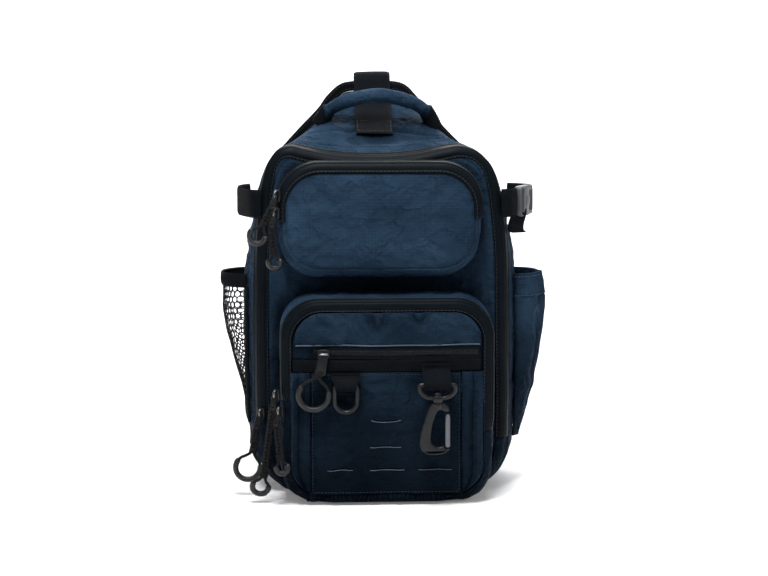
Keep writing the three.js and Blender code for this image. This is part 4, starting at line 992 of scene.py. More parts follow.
def pleat(name, node_name, inner, outer, folds, seed):
    """Upright folds beside the panel; their outer edge runs round the pocket's lower corner."""
    n, m = 60, 84
    z = np.linspace(117, 7, m)[:, None].repeat(n, 1)
    u = np.linspace(0, 1, n)[None].repeat(m, 0)
    drop = np.clip(36 - z, 0, 25.5)
    out = outer - np.sign(outer) * (26 - np.sqrt(26.0**2 - drop**2))
    x = inner + (out - inner) * u
    P = np.stack([x, np.full_like(x, -92.3), z], -1)
    wob = 0.10 * fbm(np.stack([0 * z, 0 * z, z], -1), (20, 20, 26), 2, seed)
    saw = np.abs(np.mod((u + wob * 0.35) * folds, 1) - 0.42) / 0.58
    P[..., 1] -= 0.4 + 4.2 * np.clip(1 - saw, 0, 1) ** 0.9 * np.sin(np.pi * np.clip((z - 5) / 114, 0, 1)) ** 0.3 + 0.25 * fbm(P, (9, 9, 12), 2, seed + 1)
    P[..., 1] += 2.6 * smooth01(u, 0.86, 1.0) + 1.8 * smooth01(-z, -20, -7)
    return piece(sheet_obj(name, P, NAVY_PAINTED_LIT, CENTRE, 0.8), node_name, slot="navy_cloth")


pleat("pleats_left", "pleat_left", -66.6, -83.5, 1.6, 151)
pleat("pleats_right", "pleat_right", 64.6, 84.5, 2, 155)


n, m = 260, 22
x = np.linspace(-70, 68, n)[None].repeat(m, 0)
v = np.linspace(0, 1, m)[:, None].repeat(n, 1)
env = smooth01(x, -64, -44) * smooth01(-x, -62, -42)
z = 9.8 - 8.2 * v
P = np.stack([x, np.full_like(x, -91.0), z], -1)
g = np.abs(np.sin(x * 0.82 + 1.6 * fbm(P * [1, 0, 1], (9, 9, 9), 2, 211))) ** 0.8
P[..., 1] -= env * (0.5 + np.sin(np.pi * v) ** 0.6 * (0.9 + 1.9 * g)) - (1 - env) * 5.0
P[..., 1] += 1.6 * smooth01(v, 0.75, 1)
piece(sheet_obj("lower_gathers", P, NAVY_PAINTED_LIT, CENTRE, 0.8))

# ------------------------------------------------------------------ side pockets
def side_wall_x(side, z, y):
    s = np.linspace(6, 13, 300)
    out = np.zeros(np.broadcast(z, y).shape)
    z, y = np.broadcast_arrays(np.asarray(z, float), np.asarray(y, float))
    for yy in np.unique(y):
        p = outline(R(s) if side > 0 else L(s), yy)
        o = np.argsort(p[:, 2])
        m = y == yy
        out[m] = np.interp(z[m], p[o, 2], p[o, 0])
    return out


MESH_OUT = np.array([[196, 144.5], [183, 144.5], [163, 144.5], [141, 141], [119, 135.5], [97, 129.5], [75, 124.6], [60, 122.4]])
RIGHT_OUT = np.array([[193, 145], [172, 148.5], [139, 147.5], [117, 144.5], [95, 140], [72, 134], [45, 126.5]])


def side_surface(side, table, u, z, lift=0.0):
    y = -22 + 60 * u
    wallx = np.abs(side_wall_x(side, z, np.round(y, 1))) + 2.0 + lift
    o = table[np.argsort(table[:, 0])]
    out = np.interp(z, o[:, 0], o[:, 1]) + lift
    bow = np.sin(np.pi * np.clip(u, 0, 1)) ** 0.6
    return np.stack([side * (wallx + np.maximum(out - wallx, 0) * bow), y, z], -1)


def grid_uz(z0, z1, nu, nz):
    u = np.linspace(0, 1, nu)[None].repeat(nz, 0)
    z = np.linspace(z1, z0, nz)[:, None].repeat(nu, 1)
    return u, z


# open mesh: hexagonal net laid on the pocket's surface
def net_obj():
    width, height, pitch = 84.0, 124.0, 5.4
    V, F, key = [], [], {}

    def vid(x, z):
        k = (round(x, 2), round(z, 2))
        if k not in key:
            key[k] = len(V)
            V.append((x, z))
        return key[k]

    dx, dz = pitch, pitch * 0.5 * math.sqrt(3) * 1.12
    nj, ni = int(height / dz) + 1, int(width / dx) + 1
    for j in range(nj):
        for i in range(ni):
            cx, cz = i * dx + (dx / 2 if j % 2 else 0), j * dz
            r1, h1, h2 = dx / 2, dz * 0.36, dz * 0.64
            F.append([vid(cx, cz + h2), vid(cx - r1, cz + h1), vid(cx - r1, cz - h1), vid(cx, cz - h2), vid(cx + r1, cz - h1), vid(cx + r1, cz + h1)])
    A = np.array(V)
    u = np.clip(A[:, 0] / width, 0.0, 1.0)
    z = np.clip(60.5 + A[:, 1], 60.5, 184.5)
    # the knit is pulled narrower and slack in places
    z = z + 0.9 * fbm(np.stack([A[:, 0], A[:, 1], 0 * u], 1), (16, 16, 16), 2, 161) * (1 - smooth01(z, 170, 184))
    P = side_surface(-1, MESH_OUT, u, z)
    P[:, 0] += 1.0 * fbm(P, (30, 30, 22), 2, 163) * np.sin(np.pi * u) ** 0.5
    keep = [f for f in F if len({tuple(np.round(P[q], 3)) for q in f}) == 6]
    ob = new_mesh("net", P, keep, MESHM)
    w = ob.modifiers.new("w", "WIREFRAME")
    w.thickness, w.use_even_offset, w.use_boundary = 0.00125, False, True
    s = ob.modifiers.new("s", "SUBSURF")
    s.levels = s.render_levels = 1
    apply_mods(ob)
    ob.name = "side_net"
    ob.data.polygons.foreach_set("use_smooth", [True] * len(ob.data.polygons))
    return ob


piece(net_obj(), "mesh_pocket", slot="black_mesh")
u, z = grid_uz(182.2, 194.6, 80, 20)
P = side_surface(-1, MESH_OUT, u, z, 0.3)
N = normals(P, CENTRE)
v = (z - 188.4) / 6.2
P = P + N * (0.7 + 0.8 * (1 - np.abs(v) ** 6) + 0.3 * np.sin(u * 120) * (1 - np.abs(v)) + 0.3 * fbm(P, (8, 8, 8), 2, 165))[..., None]
piece(sheet_obj("net_binding", P, BINDING, CENTRE, 2.0), "mesh_pocket_binding", slot="black_binding")
# seam tapes down both sides of the net
for nm, uu in (("net_seam_front", 0.0), ("net_seam_back", 1.0)):
    z = np.linspace(60, 184, 90)
    path = side_surface(-1, MESH_OUT, np.full_like(z, uu), z, 0.2)
    piece(tube_obj(nm, path, 1.5, BINDING, 10, up=(0, 1, 0.01)))

# cloth pocket on the right: gathered top hem, upright folds
u, z = grid_uz(45, 193.4, 104, 104)
P = side_surface(1, RIGHT_OUT, u, z)
N = normals(P, CENTRE)
m = np.sin(np.pi * u) ** 0.5
fold = 2.3 * np.sin(u * 17 + 0.8 * fbm(P * [0, 1, 1], (40, 40, 60), 2, 171)) * (0.35 + 0.65 * smooth01(z, 60, 190))
fold += 2.2 * (ridge(P, (30, 13, 60), 172, 2.0) - 0.4) + 0.4 * fbm(P, (10, 10, 10), 3, 173)
hem = smooth01(z, 171, 172.4)
h = m * fold * (1 - 0.55 * hem) + 0.9 * hem - 1.0 * np.exp(-(((z - 171.6) / 1.0) ** 2)) + 0.35 * np.sin(u * 150) * hem
h *= smooth01(u, 0, 0.04) * smooth01(1 - u, 0, 0.04)
P = P + N * h[..., None]
cloth_pocket = piece(sheet_obj("cloth_pocket", P, NAVY, CENTRE, 1.4), "right_pocket", slot="navy_cloth")
wide = float(np.linalg.norm(np.diff(P, axis=1), axis=2).sum(1).mean()) / 1000
tall = float(np.linalg.norm(np.diff(P, axis=0), axis=2).sum(0).mean()) / 1000
print("cloth pocket flat", round(wide, 4), round(tall, 4))
j = int(np.argmin(np.abs(z[:, 0] - 172.6)))
j2 = int(np.argmin(np.abs(z[:, 0] - 191.0)))
stitches("cloth_pocket_stitches", [(P[j] + N[j] * 0.1, N[j]), (P[j2] + N[j2] * 0.1, N[j2])], THREAD, pitch=3.0)


# ------------------------------------------------------------------ webbing
def strap(name, path, across, width, mat, thick=1.9, n=90, seed=181, wob=0.35, nv=12):
    P = even(catmull(path, 400), n)
    A = np.asarray(across, float)
    A = A if A.ndim == 2 else np.repeat(A[None], n, 0)
    A = A / np.linalg.norm(A, axis=1, keepdims=True)
    T = np.gradient(P, axis=0)
    T /= np.linalg.norm(T, axis=1, keepdims=True)
    Nn = np.cross(T, A)
    Nn /= np.linalg.norm(Nn, axis=1, keepdims=True)
    q = np.concatenate([np.linspace(-1, 1, nv), np.linspace(1, -1, nv)])
    side = np.concatenate([np.ones(nv), -np.ones(nv)])
    prof = np.sqrt(np.clip(1 - np.abs(q) ** 7, 0.0, 1)) * 0.5 * thick
    wd = np.interp(np.linspace(0, 1, n), np.linspace(0, 1, np.size(width)), np.ravel(width))
    G = P[None] + A[None] * (q[:, None] * wd[None] / 2)[..., None] + Nn[None] * (prof * side)[:, None, None]
    wv = wob * fbm(G, (28, 28, 28), 2, seed)
    G = G + Nn[None] * (wv * smooth01(np.linspace(0, 1, n), 0, 0.1) * smooth01(np.linspace(1, 0, n), 0, 0.1))[..., None]
    s = np.concatenate([[0], np.cumsum(np.linalg.norm(np.diff(P, axis=0), axis=1))])
    uv = np.stack([np.repeat(s[None], 2 * nv, 0), q[:, None] * wd[None] / 2], -1)
    V = G.reshape(-1, 3)
    F = grid_faces(2 * nv, n, False, True)
    F.append([j * n for j in range(2 * nv)])
    F.append([j * n + n - 1 for j in range(2 * nv)][::-1])
    return fix_normals(new_mesh(name, V, F, mat, uv.reshape(-1, 2)))


def top_z(y):
    return float(outline(np.array([0.0]), np.array([float(y)]))[0, 2])


TOPWEB = [(-7, -10.5, top_z(-10.5) + 1.9), (-7, 0, top_z(0) + 1.9), (-7, 12, top_z(12) + 2.1), (-7, 28, top_z(28) + 2.6), (-7, 37, 360), (-7, 40.5, 367),
          (-7, 44, 371.6), (-7, 48.5, 373.2), (-7, 53, 371), (-7, 55, 364), (-7, 55.4, 350), (-7, 55.4, 336)]
piece(strap("top_strap", TOPWEB, (1, 0, 0), 33, WEB, n=140), "top_webbing", slot="black_webbing")
for y0, y1 in ((-8.5, 4),):
    pts = []
    for k in range(4):
        corner = [(-22, y0), (8, y0), (8, y1), (-22, y1)]
        a, b = corner[k], corner[(k + 1) % 4]
        for f in np.linspace(0, 1, 14):
            xx, yy = a[0] + (b[0] - a[0]) * f, a[1] + (b[1] - a[1]) * f
            pts.append((xx, yy, top_z(yy) + 2.9))
    pts = np.array(pts)
    stitches("top_strap_box", [(pts, np.repeat([[0, -0.5, 0.85]], len(pts), 0))], THREAD_B)

SZ = 259.0
LEFT = [(-108, -47.2, SZ), (-115, -45, SZ), (-121, -34, SZ), (-128, -12, SZ), (-129.5, 8, SZ), (-127, 28, SZ), (-120, 42, SZ)]
piece(strap("side_strap_left", LEFT, (0, 0, 1), 25, WEB, n=100), "strap_left", slot="black_webbing")
FR = [(103, -47.2, SZ), (110, -45.4, SZ), (115, -40, SZ), (118, -34, SZ)]
piece(strap("side_strap_front", FR, (0, 0, 1), 25, WEB, n=40), "strap_right_front", slot="black_webbing")
RE = [(136.4, 6, SZ), (138, 16, SZ), (134, 30, SZ), (119, 42, SZ)]
piece(strap("side_strap_rear", RE, (0, 0, 1), 25, WEB, n=60), "strap_right_rear", slot="black_webbing")
TAIL = [(121.5, -24, 252), (120.5, -28, 246), (118.5, -28, 239), (119, -24, 233.5), (122, -20, 231)]
piece(strap("side_strap_tail", TAIL, (0.9, 0.43, 0), 17, WEB, n=40, wob=0.8), "strap_right_tail", slot="black_webbing")


# ------------------------------------------------------------------ plates and hardware
def inset_loop(loop, d):
    """The closed outline moved inwards by d (outwards where d is negative)."""
    p = np.asarray(loop, float)
    area = 0.5 * np.sum(p[:, 0] * np.roll(p[:, 1], -1) - np.roll(p[:, 0], -1) * p[:, 1])
    e = np.roll(p, -1, 0) - p
    e /= np.maximum(np.linalg.norm(e, axis=1, keepdims=True), 1e-9)
    n = np.stack([-e[:, 1], e[:, 0]], 1) * np.sign(area)
    v = n + np.roll(n, 1, 0)
    v /= np.maximum(np.linalg.norm(v, axis=1, keepdims=True), 1e-9)
    c = np.clip(np.sum(v * n, 1), 0.75, 1)
    return p + v * (d / c)[:, None]


def plate_obj(name, outline2, holes, thick, bevel, origin, U, W, mat, res=3):
    """Flat moulded part: an outline in the plane of U and W, with rounded edges."""
    U, W = np.asarray(U, float), np.asarray(W, float)
    U, W = U / np.linalg.norm(U), W / np.linalg.norm(W)
    n = np.cross(U, W)
    V, F, caps, off = [], [], [], 0
    th = np.linspace(0, math.pi / 2, res + 1)
    steps = [(bevel * (1 - math.cos(q)), thick / 2 - bevel + bevel * math.sin(q)) for q in th]
    rings = [(d, -h) for d, h in reversed(steps)] + steps
    for loop, sign in [(outline2, 1), *[(h_, -1) for h_ in holes]]:
        m = len(loop)
        for d, h in rings:
            q = inset_loop(loop, sign * d)
            V.append(np.stack([q[:, 0], q[:, 1], np.full(m, h)], 1))
        F += grid_faces(len(rings), m, True, off=off)
        caps.append((off, m))
        off += m * len(rings)
    V = np.vstack(V)
    for k in (0, len(rings) - 1):
        idx = [[o + k * m + i for i in range(m)] for o, m in caps]
        tris = tessellate_polygon([[Vector((V[i][0], V[i][1], 0)) for i in part] for part in idx])
        flat = [i for part in idx for i in part]
        F += [[flat[i] for i in t] for t in tris]
    P = np.asarray(origin, float) + V[:, :1] * U + V[:, 1:2] * W + V[:, 2:3] * n
    ob = fix_normals(new_mesh(name, P, F, mat))
    try:
        ob.data.set_sharp_from_angle(angle=math.radians(38))
    except AttributeError:
        pass
    return ob


def rrect(l, r, b, t, c, n=6):
    pts = []
    for cx, cy, a0 in ((r - c, t - c, 0), (l + c, t - c, 90), (l + c, b + c, 180), (r - c, b + c, 270)):
        for k in range(n + 1):
            a = math.radians(a0 + 90 * k / n)
            pts.append((cx + c * math.cos(a), cy + c * math.sin(a)))
    return pts


# side-release buckle, seen nearly edge-on: socket with side windows and the plug's two sprung prongs
BU = np.array([18.0, 40.0, 0]) / 43.86
bc = np.array([127.6, -13.6, SZ])
BW = np.array([0, 0, 1.0])
socket = plate_obj("b1", rrect(-18.6, 5, -13.6, 13.6, 3), [rrect(-16.2, -12.2, -11.6, 11.6, 1.2)], 7.4, 1.3, bc, BU, BW, BUCKLE)
prong1 = plate_obj("b2", [(2, 13.8), (6, 13.9), (12, 12.6), (15, 10.6), (14, 8.6), (8, 9.2), (2, 9.6)], [], 5.6, 0.9, bc, BU, BW, BUCKLE)
prong2 = plate_obj("b3", [(2, -13.8), (6, -13.9), (12, -12.6), (15, -10.6), (14, -8.6), (8, -9.2), (2, -9.6)][::-1], [], 5.6, 0.9, bc, BU, BW, BUCKLE)
stem = plate_obj("b4", rrect(2, 18.8, -13.2, 13.2, 2.4), [rrect(8, 11.2, -11.4, 11.4, 1), rrect(13.4, 16.6, -11.4, 11.4, 1)], 5.0, 1.0, bc, BU, BW, BUCKLE)
spine = plate_obj("b5", rrect(-6, 5, -5, 5, 2), [], 8.4, 1.2, bc, BU, BW, BUCKLE)
piece(join_obs("side_buckle", [socket, prong1, prong2, stem, spine]), "buckle_right", slot="black_plastic")


# handle: padded roll with wrapped ends
HP = [(-49.6, 8.2, 336), (-45.6, 4.6, 340.6), (-33, -2, 347.2), (-4, -8, 353), (25, -2, 347.2), (37.4, 4.6, 340.6), (41.4, 8.2, 336)]
path = even(catmull(HP, 300), 150)
T, S, U_ = frames_along(path, up=(0, 1, 0.4))
sides = 40
a = np.arange(sides) / sides * 2 * np.pi
q = np.linspace(0, 1, 150)
rad = 6.3 * (0.88 + 0.12 * np.sin(np.pi * q) ** 0.5)
G = path[:, None] + rad[:, None, None] * (np.cos(a)[None, :, None] * S[:, None] + np.sin(a)[None, :, None] * U_[:, None])
Nn = (G - path[:, None]) / rad[:, None, None]
h = 0.45 * (ridge(G, (11, 16, 16), 191, 2.0) - 0.4) + 0.22 * fbm(G, (6, 6, 6), 3, 192)
h += -1.0 * np.exp(-(((a[None] - 4.3) / 0.09) ** 2))
G = G + Nn * (h * (smooth01(q, 0, 0.06) * smooth01(1 - q, 0, 0.06))[:, None])[..., None]
F = grid_faces(150, sides, True) + [list(range(sides))[::-1], [149 * sides + k for k in range(sides)]]
piece(fix_normals(new_mesh("carry_handle", G.reshape(-1, 3), F, NAVY)), "handle", slot="navy_cloth", padded=0.7)
for nm, nd, pts in (("handle_wrap_left", "handle_end_left", [(-47.6, 6.4, 340.2), (-49.8, 8.6, 337), (-52.4, 10.2, 332.6), (-55.8, 11.8, 326.6)]),
                    ("handle_wrap_right", "handle_end_right", [(39.6, 6.4, 340.2), (41.8, 8.6, 336.6), (44.6, 10.4, 331.6), (48.6, 12.2, 323)])):
    p = even(catmull(pts, 100), 40)
    r = np.linspace(6.7, 7.6, 40) * (1 + 0.03 * np.sin(np.arange(40) * 1.3))
    r[0] *= 0.94
    V, F = tube_data(p, r, 28, up=(0, 1, 0.4), flat=np.linspace(1, 0.7, 40)[:, None, None] if False else 0.92)
    ob = fix_normals(new_mesh(nm, V, F, BINDING, np.stack([V[:, 0] * 1.0, V[:, 2] * 1.0], 1)))
    piece(ob, nd, slot="black_binding")


# tabs that carry the ring and the hook
WEB_T, TAB_FRONT = 1.9, -94.3


def tab_path(bar_y, bar_z, bar_r, top_edge, join_z, x):
    r = bar_r + 0.6 + WEB_T / 2
    y1 = TAB_FRONT - WEB_T / 2 - 0.1
    y2 = y1 - WEB_T - 0.4
    dy, dz = bar_y - y2, bar_z - join_z
    ln = math.hypot(dy, dz)
    d, p = (dy / ln, dz / ln), (-dz / ln, dy / ln)
    at = lambda a_, b_: (x, bar_y + r * (a_ * p[0] + b_ * d[0]), bar_z + r * (a_ * p[1] + b_ * d[1]))
    pts = [(x, y1, top_edge), (x, y1, join_z + 0.4), at(1, -1.0)]
    pts += [at(math.cos(t), math.sin(t)) for t in np.linspace(0, math.pi, 9)]
    pts += [at(-1, -1.0), (x, y2, join_z + 1.4), (x, y2, top_edge)]
    return pts


piece(strap("ring_webbing", tab_path(-101, 106, 1.9, 116.9, 112.6, -36), (1, 0, 0), [25, 25, 24, 19.5, 18.4, 18.4, 19.5, 24, 25, 25], WEB, n=90, wob=0.0), "ring_tab", slot="black_webbing")
piece(strap("hook_webbing", tab_path(-109.5, 108, 2.1, 124.5, 118, 42), (1, 0, 0), 24.4, WEB, n=100, wob=0.0), "hook_tab", slot="black_webbing")

# ring
x, y, z, w, hgt, r = -36, -101, 106, 23, 26, 1.9
hw, drop = w / 2 - r, hgt - 2 * r
pts = [(x + (-hw + 1.6) + (2 * hw - 3.2) * i / 3, y, z) for i in range(4)] + [(x + hw, y, z - 2)]
pts += [(x + hw * math.cos(-t), y, z - drop + hw + hw * math.sin(-t) - 0.4) for t in np.linspace(0, math.pi, 9)]
pts += [(x - hw, y, z - 2)]
piece(tube_obj("steel_ring", even(catmull(pts, 300, True), 110, True), r, PLASTIC, 18, True, up=(0, 1, 0)), "d_ring", body="ring", slot="black_plastic")

# snap hook: loop, swivel, body and gate
HX, HY, BZ, LW, LH, HR = 42.0, -109.5, 108.0, 34.4, 15.5, 2.1
hw, low = LW / 2 - HR, BZ - LH + 2 * HR
pts = [(HX - hw + 1.5, HY, BZ), (HX, HY, BZ), (HX + hw - 1.5, HY, BZ), (HX + hw, HY, BZ - 2), (HX + hw - 0.8, HY, BZ - 6), (HX + hw - 5, HY, low + 1.4), (HX + 5, HY, low),
       (HX - 5, HY, low), (HX - hw + 5, HY, low + 1.4), (HX - hw + 0.8, HY, BZ - 6), (HX - hw, HY, BZ - 2)]
loop = tube_obj("hl", even(catmull(pts, 300, True), 120, True), HR, PLASTIC, 18, True, up=(0, 1, 0))


def lathe(name, prof, centre, mat, n=36):
    """Turned part about an upright axis; prof is rows of radius and height."""
    a = np.arange(n) / n * 2 * np.pi
    V = np.array([[[centre[0] + rr * math.cos(t), centre[1] + rr * math.sin(t), zz] for t in a] for rr, zz in prof]).reshape(-1, 3)
    F = grid_faces(len(prof), n, True) + [list(range(n)), [(len(prof) - 1) * n + k for k in range(n)][::-1]]
    ob = fix_normals(new_mesh(name, V, F, mat))
    try:
        ob.data.set_sharp_from_angle(angle=math.radians(45))
    except AttributeError:
        pass
    return ob


lw = low - 0.5
boss = lathe("hb", [(1.9, lw - 3), (4.2, lw - 3), (4.7, lw - 2.4), (4.7, lw + 2.2), (4.2, lw + 2.9), (1.9, lw + 2.9)], (HX, HY), PLASTIC)
piece(join_obs("hook_base_loop", [loop, boss]), "hook_loop", body="hook_base", slot="black_plastic")


def bez(p0, p1, p2, p3, n=18):
    t = np.linspace(0, 1, n)[:, None]
    p0, p1, p2, p3 = map(np.asarray, (p0, p1, p2, p3))
    return ((1 - t) ** 3 * p0 + 3 * (1 - t) ** 2 * t * p1 + 3 * (1 - t) * t * t * p2 + t**3 * p3).tolist()


Rx = 54.2
outer = [(52.3, 85.0), (51.6, 88.8), (49.2, 91.6), (45.5, 93.0), (40.5, 93.2), (36.8, 91.4), (34.4, 88), (32.2, 82.5), (29.8, 75), (27.8, 67.5), (26.7, 60.5),
         (27.0, 55), (29.4, 50.6), (33.6, 48.2), (39, 47.6), (45, 48.2), (49.6, 49.8), (52.6, 52.4)]
outer = catmull(np.array([(a_, 0, b_) for a_, b_ in outer]), 90)[:, [0, 2]].tolist()
seat = [(50.8 + 3.1 * math.cos(t), 55.8 + 3.1 * math.sin(t)) for t in np.linspace(math.radians(-64), math.radians(-176), 12)]
inner_l = [(46.6, 55.4), (44.6, 54.6), (41.6, 54.6), (38.2, 56.4), (36.4, 60.4), (36.4, 66), (37.3, 72), (38.8, 78), (40.8, 83.4), (43.0, 86.2), (45.6, 86.6), (47.3, 85.2)]
inner_l = catmull(np.array([(a_, 0, b_) for a_, b_ in inner_l]), 60)[:, [0, 2]].tolist()
shape = outer + seat + inner_l + [(48.4, 85.0)]
hook = plate_obj("hk", shape, [], 6.6, 1.35, (0, HY, 0), (1, 0, 0), (0, 0, 1), PLASTIC, 4)
pin = lathe("hp", [(0.6, lw + 5.4), (3.0, lw + 5.4), (3.6, lw + 4.6), (3.6, lw + 3.4), (1.75, lw + 3.3), (1.75, lw - 3.4), (4.5, lw - 3.4), (4.9, lw - 4.4), (4.9, lw - 6.2), (3.8, lw - 9.2), (0.6, lw - 9.5)], (HX, HY), PLASTIC)
piece(join_obs("snap_hook", [hook, pin]), "hook_body", body="hook", slot="black_plastic")
gx = Rx - 3.4
gate = [(gx + 2.1 * math.cos(t), 55.8 + 2.1 * math.sin(t)) for t in np.linspace(math.pi, 2 * math.pi, 12)]
gate += [(gx + 2.1, 80), (gx + 1.9, 82.4), (gx + 1.1, 83.8), (gx - 1.1, 83.8), (gx - 1.9, 82.4), (gx - 2.1, 80)]
piece(plate_obj("snap_gate", gate, [], 3.8, 0.8, (0, HY, 0), (1, 0, 0), (0, 0, 1), STEEL, 3), "hook_gate", body="gate", slot="steel")

# ------------------------------------------------------------------ zip sliders and pulls
PULLS = [
    # name, slider centre, where the slider's tab ends, neck of the loop, loop centre, loop radius, tab half-width
    ("slip", (-55, -97.2, 133.8), (-57.8, -101.5, 118.5), (-60.2, -101.5, 113.2), (-63.6, -101.5, 98.8), 12.8, 4.6),
    ("upper_a", (-93.8, -72.5, 268), (-98.0, -77, 260), (-106.4, -75.5, 242), (-111, -74, 233.5), 7.0, 2.4),
    ("upper_b", (-94.8, -72.9, 252.6), (-98.6, -77, 244), (-97.4, -72.5, 219), (-96.6, -70.5, 210), 5.0, 2.4),
    ("main", (-109.4, -47.8, 73), (-113.5, -53, 63), (-117.6, -53, 38.5), (-121.6, -53, 25.5), 10.9, 2.9),
    ("lower_a", (-95.4, -91.4, 97.6), (-98.6, -95.6, 88), (-107.4, -84, 23.5), (-110.2, -81, 14.4), 7.0, 2.5),
    ("lower_b", (-92.2, -90.4, 82.6), (-96, -95, 74), (-92.4, -95, 41), (-91, -94.8, 34), 4.9, 2.5),
]
for name, at, eye, neck, ring, radius, tw in PULLS:
    at, eye, neck, ring = (np.array(v, float) for v in (at, eye, neck, ring))
    run = np.array([1.0, 0, 0]) if name == "slip" else np.array([0.05, 0, 1.0])
    run /= np.linalg.norm(run)
    out = np.array([0, -1.0, 0]) if name == "slip" else np.array([-0.5, -0.87, 0]) if name == "main" else np.array([-0.66, -0.75, 0])
    acr = np.cross(run, out)
    body = plate_obj("z1", [(-5, -2.6), (-3.4, -3.7), (2, -3.9), (5, -2.9), (5, 2.9), (2, 3.9), (-3.4, 3.7), (-5, 2.6)], [], 2.6, 0.7, at + out * 0.2, run, acr, ZIPMETAL)
    bpath = [at + run * (-3.8) + out * 1.2, at + run * (-3.2) + out * 3.0, at + out * 3.6, at + run * 3.2 + out * 3.0, at + run * 3.8 + out * 1.2]
    obs = [body, tube_obj("z2", even(catmull(bpath, 60), 24), 0.95, GLINT, 10, up=acr)]
    # tab from the bridge down to the cord
    t0 = at + out * 2.8
    tl = np.linalg.norm(eye - t0)
    td = (eye - t0) / tl
    tn = np.cross(td, [0, 1.0, 0])
    tn /= np.linalg.norm(tn)
    obs.append(plate_obj("z3", [(-1, -tw * 0.6), (1, -tw * 0.85), (tl - 1, -tw), (tl + 1.4, -tw * 0.95), (tl + 3, -tw * 0.5), (tl + 3, tw * 0.5), (tl + 1.4, tw * 0.95), (tl - 1, tw), (1, tw * 0.85), (-1, tw * 0.6)],
                         [rrect(tl - 1.0, tl + 1.5, -tw * 0.45, tw * 0.45, 0.5, 3)], 1.8, 0.45, t0, td, tn, ZIPMETAL))
    piece(join_obs("zip_slider_" + name, obs), "slider_" + name, slot="zip_metal")
    # two cords lie side by side down to the neck and open into a ring with a moulded grip
    down = neck - eye
    down /= np.linalg.norm(down)
    axis = ring - neck
    axis /= np.linalg.norm(axis)
    side = np.cross([0, 1.0, 0], axis)
    side /= np.linalg.norm(side)
    side0 = np.cross([0, 1.0, 0], down)
    side0 /= np.linalg.norm(side0)
    half = 1.45
    right = [eye - down * 0.6 + side0 * 0.3, eye + down * 1.4 + side0 * half]
    legs = np.linalg.norm(neck - eye)
    k = max(int(legs / 6), 1)
    right += [eye + (neck - eye) * f + side0 * half for f in np.linspace(0.25, 1, k + 1)[:-1]]
    right += [neck + side * half * 1.1]
    left = [eye - down * 0.6 - side0 * 0.3, eye + down * 1.4 - side0 * half]
    left += [eye + (neck - eye) * f - side0 * half for f in np.linspace(0.25, 1, k + 1)[:-1]]
    left += [neck - side * half * 1.1]
    a0 = 0.52
    arc = [ring + radius * (-axis * math.cos(q) + side * math.sin(q)) for q in np.linspace(a0, 2 * math.pi - a0, 22)]
    pth = even(catmull(np.array(right + arc + left[::-1]), 700, True), 260, True)
    # grip: the part of the loop further along the axis than the ring's upper third
    far = (pth - ring) @ axis
    grip = smooth01(far, -0.55 * radius, -0.30 * radius)
    idx = np.arange(260)
    rad = 1.35 + 0.10 * np.sin(idx * 2.2) * (1 - grip) + grip * (1.15 + 0.10 * np.sin(idx * 1.7))
    up = np.cross(side, axis)
    V, F = tube_data(pth, rad, 14, True, up=up)
    ob = fix_normals(new_mesh("p1", V, F, GRIP))
    ob.data.materials.append(CORD)
    per = grid_faces(260, 14, True, True)
    ob.data.polygons.foreach_set("material_index", [0 if grip[f[0] // 14] > 0.5 else 1 for f in per])
    # whipping turns at the neck
    obs = [ob]
    for j in range(4):
        cc = neck - axis * (2.6 * 0.5 - j * 1.25) * -1 - axis * 2.0
        q = np.arange(28) / 28 * 2 * np.pi
        turn = cc + 3.0 * np.cos(q)[:, None] * side + 1.75 * np.sin(q)[:, None] * up + 0.3 * np.sin(q)[:, None] * axis
        obs.append(tube_obj("p2", turn, 0.62, CORD, 8, True, up=axis))
    if legs > 14:
        m = int(legs / 3.2)
        for j in range(1, m):
            f = j / m
            cc = eye + (neck - eye) * f
            q = np.arange(20) / 20 * 2 * np.pi
            turn = cc + 2.8 * np.cos(q)[:, None] * side0 + 1.5 * np.sin(q)[:, None] * np.cross(side0, down) + (1.0 if j % 2 else -1.0) * 1.1 * np.cos(q)[:, None] * down
            obs.append(tube_obj("p3", turn, 0.55, CORD, 6, True, up=down))
    piece(join_obs("zip_pull_" + name, obs), "pull_" + name, slot="pull_rubber")

# ------------------------------------------------------------------ shoulder sling on the back
pad = [(-24, 338), (10, 338)] + bez((10, 338), (26, 320), (30, 290), (28, 255), 24)[1:] + bez((28, 255), (26, 215), (20, 180), (12, 160), 24)[1:]
pad += [(-18, 160)] + bez((-18, 160), (-34, 190), (-42, 220), (-42, 255), 24)[1:] + bez((-42, 255), (-42, 290), (-38, 320), (-24, 338), 24)[1:-1]
pad = even(np.stack([np.array(pad)[:, 0], np.zeros(len(pad)), np.array(pad)[:, 1]], 1), 220, True)
c = np.array([-7.0, 0, 250.0])
rows = np.concatenate([[0.985, 1.0, 1.0, 0.985], np.linspace(0.955, 0.02, 40)])
ydep = np.array([57.9, 59.0, 64.8, 66.0] + [66.4] * 40)
P = np.array([c + rr * (pad - c) + [0, yy, 0] for rr, yy in zip(rows, ydep)])
edge_d = np.exp(-(((1 - rows) - 0.11) / 0.018) ** 2)[:, None]
P[..., 1] -= 1.8 * edge_d + 0.25 * fbm(P, (20, 20, 20), 2, 201)
piece(sheet_obj("sling_padding", P, SPACER, (-7, 57, 250), 1.4, closed_i=True), "sling_pad", slot="spacer_mesh", padded=0.6)
SW = [(-5, 62, 150), (4, 61.6, 136), (18, 57, 118), (40, 54.4, 84), (66, 54.2, 46), (82, 54.2, 24)]
piece(strap("sling_strap", SW, (0.83, 0, 0.56), 25, WEB, n=120), "sling_web", slot="black_webbing")
ang = -0.6
AU = np.array([math.cos(ang), 0, -math.sin(ang)])
AW = np.array([math.sin(ang), 0, math.cos(ang)])
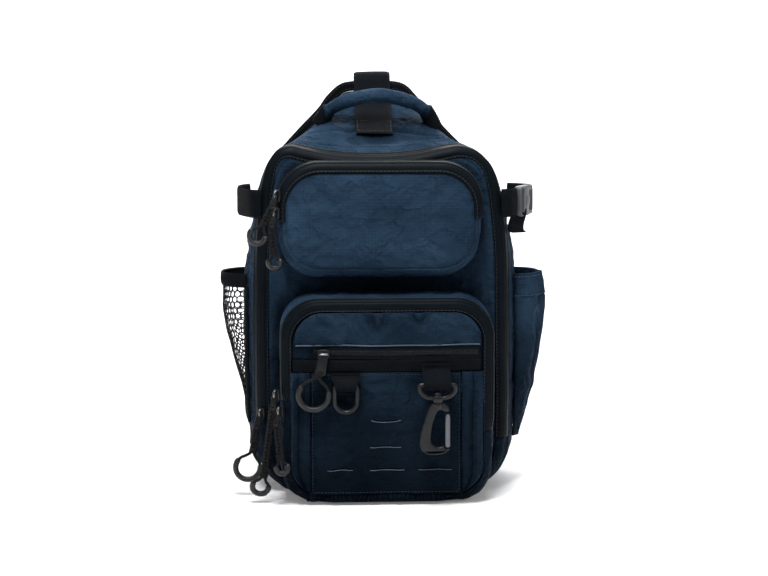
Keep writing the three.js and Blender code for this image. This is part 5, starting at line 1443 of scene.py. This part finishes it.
adj = plate_obj("sling_slider", rrect(-17, 17, -11, 11, 3), [rrect(-13, 13, 1.4, 6.6, 1), rrect(-13, 13, -6.6, -1.4, 1)], 3.4, 0.9, (46, 58.6, 74.6), AU, AW, BUCKLE)
piece(adj, "sling_adjuster", slot="black_plastic")


# ------------------------------------------------------------------ studio
def area_light(name, loc, target, size, power, color=(1, 1, 1)):
    li = bpy.data.lights.new(name, "AREA")
    li.shape, li.size, li.energy, li.color = "DISK", size, power, color
    ob = bpy.data.objects.new(name, li)
    bpy.context.scene.collection.objects.link(ob)
    ob.location = loc
    ob.rotation_mode = "QUATERNION"
    ob.rotation_quaternion = (Vector(target) - Vector(loc)).to_track_quat("-Z", "Y")
    return ob


area_light("key", (-0.13, -0.52, 1.15), (0, 0.0, 0.16), 0.38, 15.0)
area_light("fill", (-1.1, -1.7, 1.25), (0, 0, 0.2), 0.8, 4.0)
area_light("side", (1.5, -0.7, 1.1), (0, 0, 0.2), 0.7, 5.0)
area_light("top", (0.14, -0.12, 1.45), (0, 0.0, 0.3), 0.6, 6.0)
area_light("rear", (0.2, 2.2, 2.0), (0, 1.7, 0.0), 2.4, 110)


# pale floor that sweeps up into the backdrop
def sweep_floor():
    yz = [(-6.0, 0.0), (-2.0, 0.0), (0.0, 0.0), (1.4, 0.0)]
    yz += [(1.4 + 1.2 * math.sin(q), 1.2 - 1.2 * math.cos(q)) for q in np.linspace(0.06, math.pi / 2, 24)]
    yz += [(2.6, 5.0)]
    V = [(x_, y_, z_) for y_, z_ in yz for x_ in (-7.0, 7.0)]
    me = bpy.data.meshes.new("floor")
    me.from_pydata(V, [], [(2 * i, 2 * i + 1, 2 * i + 3, 2 * i + 2) for i in range(len(yz) - 1)])
    me.polygons.foreach_set("use_smooth", [True] * len(me.polygons))
    m, nt, b = principled("floor_pale", (0.84, 0.84, 0.85), 0.9, spec=0.05)
    b.inputs["Emission Color"].default_value = (1, 1, 1, 1)
    b.inputs["Emission Strength"].default_value = 0.14
    me.materials.append(m)
    ob = bpy.data.objects.new("floor", me)
    bpy.context.scene.collection.objects.link(ob)
    ob.location.z = -0.0004
    return ob


sweep_floor()
world = bpy.data.worlds.new("studio")
world.use_nodes = True
world.node_tree.nodes["Background"].inputs[0].default_value = (0.92, 0.95, 1.0, 1)
world.node_tree.nodes["Background"].inputs[1].default_value = 0.12
bpy.context.scene.world = world
bpy.context.scene.view_settings.view_transform = "Standard"
